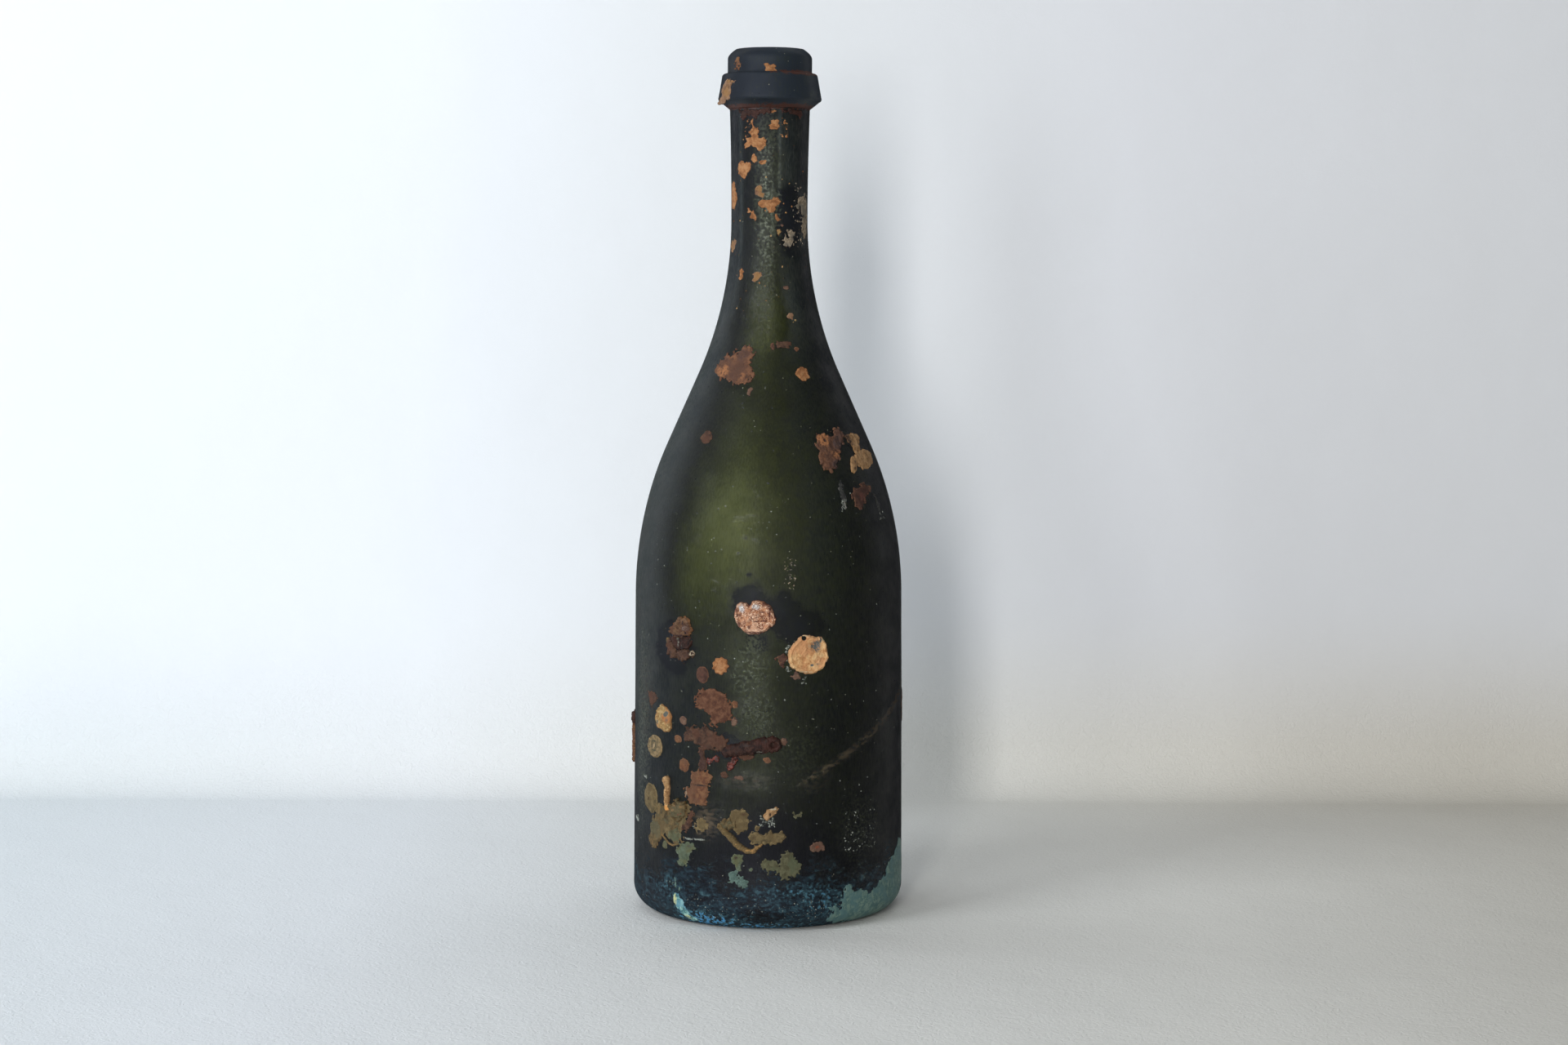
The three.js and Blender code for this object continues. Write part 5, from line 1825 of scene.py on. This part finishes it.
ON_THE_NECK = (
    Growth("neck_spindle", Habit.MAT, ORANGE, (-5.3, 270.4), trace("-9,55 -3,39 2,27 12,22 16,11 "
        "10,-3 19,-13 33,-10 43,-20 40,-34 30,-50 15,-55 2,-44 -11,-38 -22,-44 -36,-47 -43,-35 "
        "-32,-26 -36,-15 -19,-12 -9,-8 -15,-2 -27,4 -30,11 -15,15 -8,24 -14,36 -18,47"), 0.2, 0.15),
    Growth("neck_square", Habit.MAT, ORANGE, (1.8, 273.8), trace("-17,13 -6,18 9,19 16,12 14,2 "
        "19,-8 12,-17 -3,-19 -17,-16 -19,-5 -13,2"), 0.17, 0.12),
    Growth("neck_oval", Habit.MAT, ORANGE, (-5.4, 262.3), trace("-9,10 1,17 8,6 10,-11 1,-17 "
        "-10,-7"), 0.14, 0.12),
    Growth("neck_small", Habit.MAT, ORANGE, (-2.3, 260.9), trace("-15,4 1,8 14,10 15,-1 9,-10 "
        "-6,-8 -15,-4"), 0.14, 0.1),
    Growth("neck_shield", Habit.MAT, ORANGE, (-9.6, 258.4), trace("-28,23 -14,33 3,25 27,21 30,7 "
        "22,-7 13,-20 3,-33 -12,-25 -28,-12 -30,9"), 0.2, 0.12),
    Growth("neck_tan_flake", Habit.MAT, PEACH, (-3.5, 251.1), trace("-15,14 2,21 13,14 9,0 20,-11 "
        "13,-21 -1,-17 -15,-10 -20,4"), 0.17, 0.15),
    Growth("neck_wing", Habit.MAT, ORANGE, (-0.1, 246.3), trace("-39,6 -25,16 -7,15 11,16 18,25 "
        "32,27 39,13 34,-1 21,-8 23,-18 11,-27 -1,-25 -8,-13 -25,-8 -35,-4"), 0.2, 0.12),
    Growth("neck_edge_flake", Habit.MAT, ORANGE, (-15.6, 249.6), trace("-26,48 2,50 12,34 19,6 "
        "24,-16 16,-30 4,-48 -22,-46 -32,0"), 0.17, 0.2),
    Growth("neck_edge_low", Habit.MAT, PEACH, (-16.3, 232.6), disc(5.0, 4.0), 0.14),
    Growth("neck_drip", Habit.MAT, ORANGE, (2.9, 242), trace("-11,12 -3,13 2,1 11,-7 2,-13 -7,-5"),
        0.14, 0.08),
    Growth("neck_low_flake", Habit.MAT, ORANGE, (-5.9, 242.6), trace("-8,12 3,19 9,9 15,-5 9,-19 "
        "-2,-10 -15,-7 -10,4"), 0.17, 0.1),
    Growth("neck_yellow_fleck", Habit.MAT, PALE_ORANGE, (3.5, 237.1), trace("-8,7 3,12 10,0 -1,-12 "
        "-10,-8"), 0.14, 0.1),
    Growth("neck_grey_mat", Habit.MAT, STONE, (7.8, 234.8), trace("-16,23 -2,33 9,24 27,17 34,6 "
        "17,-1 24,-9 8,-15 -4,-26 -17,-33 -25,-22 -34,-15 -21,-5 -13,6"), 0.17, 0.4),
    Growth("neck_right_mat", Habit.MAT, STONE, (13.8, 242.1), trace("-26,66 -8,80 18,82 36,50 40,0 "
        "32,-56 16,-74 0,-62 -2,-24 6,6 -4,26 -30,40"), 0.2, 0.45),
    Growth("neck_low_left", Habit.MAT, ORANGE, (-10.5, 222.3), trace("-10,16 2,23 10,12 7,-5 "
        "-2,-23 -10,-12 -8,2"), 0.14, 0.12),
    Growth("neck_foot_flake", Habit.MAT, PEACH, (-4.2, 221.8), trace("-17,8 -3,18 13,13 18,3 8,-8 "
        "-6,-18 -18,-13 -10,-2"), 0.17, 0.1),
    Growth("neck_pink_fleck", Habit.MAT, BLUSH, (6.1, 218), disc(2.2, 1.5), 0.1, 0.1),
    Growth("rust_left_of_rim", Habit.CRAG, DARK_RUST, (-5.1, 277.6), trace("-68,12 -30,14 20,13 "
        "66,11 62,0 32,-3 16,-2 4,-22 -6,-26 -14,-6 -34,-8 -44,-24 -56,-20 -66,-6"), 0.36, 0.2),
    Growth("rust_right_of_rim", Habit.CRAG, DARK_RUST, (8.6, 277.7), trace("-46,12 0,14 44,12 "
        "46,-6 30,-22 16,-6 -14,0 -42,2"), 0.36, 0.2),
    Growth("rim_flake", Habit.MAT, PEACH, (-19.5, 285.1), trace("-5,28 4,42 30,42 37,29 61,35 "
        "52,25 37,17 43,-2 39,-23 -20,-42 -61,-38 -31,-29 -13,-13 -26,9"), 0.32, 0.2,
        seat=Seat.RIM),
    Growth("rim_fleck", Habit.MAT, PEACH, (-14.6, 288.2), trace("-12,-3 -6,7 11,9 12,-5 -3,-9"),
        0.3, 0.1, seat=Seat.RIM),
    Growth("lip_flake", Habit.MAT, ORANGE, (0.9, 292.5), trace("-27,15 -15,20 -8,13 6,15 11,8 6,1 "
        "16,-4 27,-16 16,-20 -2,-18 -20,-18 -25,-11 -20,-1"), 0.34, 0.1, seat=Seat.LIP),
    Growth("lip_fleck", Habit.MAT, TERRACOTTA, (-12.4, 294.2), trace("-19,3 -8,19 15,17 19,0 6,-18 "
        "-13,-19"), 0.26, 0.45, seat=Seat.LIP),
    Growth("neck_top_bit", Habit.MAT, ORANGE, (1.3, 278.1), trace("-12,2 -1,6 12,4 10,-3 -2,-6 "
        "-10,-3"), 0.12, 0.12),
    Growth("neck_low_bit", Habit.MAT, ORANGE, (-7.5, 244.3), trace("-4,11 5,8 8,-2 1,-11 -8,-5 "
        "-1,2"), 0.12, 0.12),
    Growth("neck_pink_bit", Habit.MAT, BLUSH, (4.4, 239.4), trace("-6,2 0,7 6,0 1,-7 -5,-4"), 0.12,
        0.1),
)

SCATTERED = (
    Specks("neck_specks", PALE_ORANGE, (-16, 205), (16, 276), 70, 0.1, 0.4),
    Specks("neck_square_crumbs", ORANGE, (3.6, 269.5), (6.6, 276), 26, 0.1, 0.5),
    Specks("neck_spindle_crumbs", ORANGE, (-9.2, 268), (-6.8, 276), 14, 0.12, 0.4),
    Specks("neck_right_crumbs", STONE, (8.5, 232), (14, 254), 70, 0.1, 0.5),
    Specks("wall_specks", LIME, (-62, 14), (62, 150), 260, 0.09, 0.32),
    Specks("glow_crumbs", STONE, (5.6, 117), (9.8, 128), 40, 0.18, 0.36),
    Specks("barnacle_crumbs", LIME, (6.3, 89.5), (8, 98), 40, 0.2, 0.6),
    Specks("barnacle_foot_crumbs", LIME, (11.5, 84.8), (13.5, 87.4), 16, 0.12, 0.3),
    Specks("knob_crumbs", LIME, (-32.5, 95.5), (-30, 100.5), 22, 0.08, 0.22),
    Specks("shell_crumbs", LIME, (-2.4, 36.6), (2.6, 40.4), 70, 0.12, 0.42),
    Specks("low_right_crumbs", LIME, (28, 26), (43, 40), 90, 0.12, 0.4),
    Specks("foot_crumbs", LIME, (-30, 3), (30, 12), 220, 0.07, 0.24),
    Specks("shoulder_scrape_crumbs", LIME, (26.6, 142.5), (28.6, 146.5), 26, 0.2, 0.5),
    Specks("shoulder_side_crumbs", LIME, (46.6, 138.2), (50.6, 141.2), 12, 0.15, 0.42),
)


@dataclass
class Zone:
    """All that grew on one part of the bottle."""

    growths: tuple[Growth | Specks, ...]

    def build(self) -> list[bpy.types.Object]:
        """Makes the zone's pieces, in order."""
        return [growth.build() for growth in self.growths]


@dataclass
class WallGrowths(Zone):
    """Everything that grew on the straight wall."""

    growths: tuple[Growth, ...] = ON_THE_WALL


@dataclass
class ShoulderGrowths(Zone):
    """Everything that grew on the shoulder."""

    growths: tuple[Growth, ...] = ON_THE_SHOULDER


@dataclass
class NeckGrowths(Zone):
    """Flakes on the neck and on the finish."""

    growths: tuple[Growth, ...] = ON_THE_NECK


@dataclass
class Crumbs(Zone):
    """The groups of crumbs and specks."""

    growths: tuple[Specks, ...] = SCATTERED


@dataclass(frozen=True)
class Lamp:
    """One soft lamp. Places and sizes are in metres."""

    name: str
    place: tuple[float, float, float]
    aim: tuple[float, float, float]
    width: float
    height: float
    power: float
    tint: tuple[float, float, float]

    def hang(self) -> None:
        """Puts the lamp in the scene, unseen by the camera itself."""
        data = bpy.data.lights.new(self.name, "AREA")
        data.shape = "RECTANGLE"
        data.size, data.size_y = self.width, self.height
        data.energy = self.power
        data.color = self.tint
        lamp = bpy.data.objects.new(self.name, data)
        lamp.location = self.place
        aim = Vector(self.aim) - Vector(self.place)
        lamp.rotation_euler = aim.to_track_quat("-Z", "Y").to_euler()
        lamp.visible_camera = False
        bpy.context.scene.collection.objects.link(lamp)


@dataclass
class Studio:
    """The pale backdrop, the soft lamps and the camera. Metres."""

    wall_back: float = 0.21
    corner_radius: float = 0.022
    wall_top: float = 1.6
    half_width: float = 3.2
    # Height over which the floor's darker colours fade up into the wall's: painted shade at the
    # wall's foot.
    foot_shade_height: float = 0.09
    front: float = -3.4
    camera_place: tuple[float, float, float] = (0.0054, -0.9643, 0.22)
    camera_dip: float = 5.0
    camera_roll: float = 0.2
    lens: float = 63.2
    sensor: float = 36.0
    coloured_width: float = 0.6
    # The wall and floor colours brighten to the left and dim to the right, the floor cooler on the
    # left and warmer on the right: painted light falling from the left.
    wall_colours_and_light: tuple[Colour, ...] = (
        (236, 240, 246), (242, 246, 251), (234, 237, 240), (229, 231, 236), (226, 228, 232))
    floor_colours_and_light: tuple[Colour, ...] = (
        (226, 231, 233), (234, 237, 239), (228, 228, 224), (229, 227, 220), (213, 209, 199))
    lamps: tuple[Lamp, ...] = (
        Lamp("front_window", (-0.43, -2.45, 0.6), (0, 0, 0.2), 0.26, 1.1, 25.0, (1.0, 0.98, 0.95)),
        Lamp("left_window", (-1.15, -2.25, 0.5), (0, 0, 0.15), 0.4, 0.8, 8.0, (0.96, 0.98, 1.0)),
        Lamp("wall_wash", (-1.0, -0.7, 0.7), (-0.5, 0.27, 0.25), 0.6, 0.6, 8.0, (0.9, 0.95, 1.0)),
        Lamp("ceiling", (-0.1, -0.5, 1.7), (0, 0, 0.1), 1.4, 1.0, 2.8, (0.93, 0.97, 1.0)),
    )
    sky: float = 0.11
    sky_behind: float = 0.8
    sky_tint: Shader = (0.92, 0.96, 1.0, 1.0)

    def backdrop(self) -> bpy.types.Object:
        """Makes the floor that bends up into a wall.

        Returns:
            The object.
        """
        size = self.corner_radius
        bend = [(self.wall_back - size + size * math.sin(turn), size - size * math.cos(turn))
                for turn in np.linspace(0, math.pi / 2, 25)]
        line = [(self.front, 0.0), *bend, (self.wall_back, self.wall_top)]
        points = [(x, y, z) for y, z in line for x in (-self.half_width, self.half_width)]
        faces = [(2 * i, 2 * i + 1, 2 * i + 3, 2 * i + 2) for i in range(len(line) - 1)]
        piece = made_object("backdrop", np.array(points) / MM, faces, {})
        piece.data.materials.append(self.pale_cloth())
        return piece

    def pale_cloth(self) -> bpy.types.Material:
        """The backdrop's material: a pale grained floor bending into a pale wall, with painted light:
        both brighter on the left and dimmer on the right, the floor cooler on the left and warmer on
        the right, and painted shade where the floor's darker colours reach up the wall's foot.

        The wall can't be seen from behind, so that it doesn't hide the bottle's back.

        Returns:
            The material.
        """
        graph = Graph("pale_cloth")
        across, _, up = graph.add("SeparateXYZ", {0: graph.place}).outputs
        # The floor's darker colours reach this far up the wall as painted shade at its foot.
        wall = graph.span(up, 0.0, self.foot_shade_height)
        half = self.coloured_width / 2
        along = graph.add("MapRange", {"Value": across, "From Min": -half, "From Max": half})
        # These ramps paint light across the backdrop, brighter on the left and dimmer on the right.
        floor, back = (
            graph.ramp(along.outputs["Result"], tuple(zip((0.0, 0.25, 0.5, 0.75, 1.0), colours)))
            for colours in (self.floor_colours_and_light, self.wall_colours_and_light)
        )
        weave = graph.noise(2.2, skew=1.5)
        grain = graph.times(weave, graph.span(wall, 0.0, 1.0, 1.0, 0.15))
        graph.feed(graph.surface, {
            "Base Color": graph.blend(wall, floor, back),
            "Roughness": 0.9,
            "Specular IOR Level": 0.1,
            "Normal": graph.relief(grain, 0.35, graph.relief(graph.noise(60.0, 2.0), 1.5)),
        })
        behind = graph.add("NewGeometry").outputs["Backfacing"]
        unseen = graph.add("BsdfTransparent").outputs[0]
        sides = graph.add("MixShader", {0: behind, 1: graph.surface.outputs[0], 2: unseen})
        graph.feed(graph.output, {"Surface": sides.outputs[0]})
        return graph.material

    def world(self) -> None:
        """Soft grey surroundings that look pale to the camera."""
        world = bpy.data.worlds.new("studio")
        bpy.context.scene.world = world
        nodes = Nodes(world)
        behind = nodes.add("LightPath").outputs["Is Camera Ray"]
        levels = {"Value": behind, "To Min": self.sky, "To Max": self.sky_behind}
        level = nodes.add("MapRange", levels).outputs[0]
        glow = nodes.add("Background", {"Color": self.sky_tint, "Strength": level})
        nodes.add("OutputWorld", {0: glow.outputs[0]})

    def camera(self) -> None:
        """Puts the camera in the photo's place."""
        data = bpy.data.cameras.new("camera")
        data.lens = self.lens
        data.sensor_width = self.sensor
        data.clip_start, data.clip_end = 0.01, 50.0
        camera = bpy.data.objects.new("camera", data)
        tilt = Euler((math.radians(90 - self.camera_dip), 0, 0)).to_matrix()
        roll = Matrix.Rotation(math.radians(self.camera_roll), 3, "Z")
        camera.matrix_world = Matrix.Translation(self.camera_place) @ (tilt @ roll).to_4x4()
        bpy.context.scene.collection.objects.link(camera)
        bpy.context.scene.camera = camera

    def build(self) -> None:
        """Sets up the studio."""
        self.backdrop()
        self.world()
        for lamp in self.lamps:
            lamp.hang()
        self.camera()
        bpy.context.scene.view_settings.view_transform = "Standard"


def main() -> None:
    """Builds the studio and the bottle, and reports each piece."""
    logging.basicConfig(level=logging.INFO, format="%(name)s: %(message)s")
    Studio().build()
    made = [GlassBody().build(), StringRim().build(), LipRing().build()]
    for zone in (WallGrowths(), ShoulderGrowths(), NeckGrowths(), Crumbs()):
        made += zone.build()
    for piece in made:
        LOG.info("%s: %d faces", piece.name, len(piece.data.polygons))


if __name__ == "__main__":
    main()
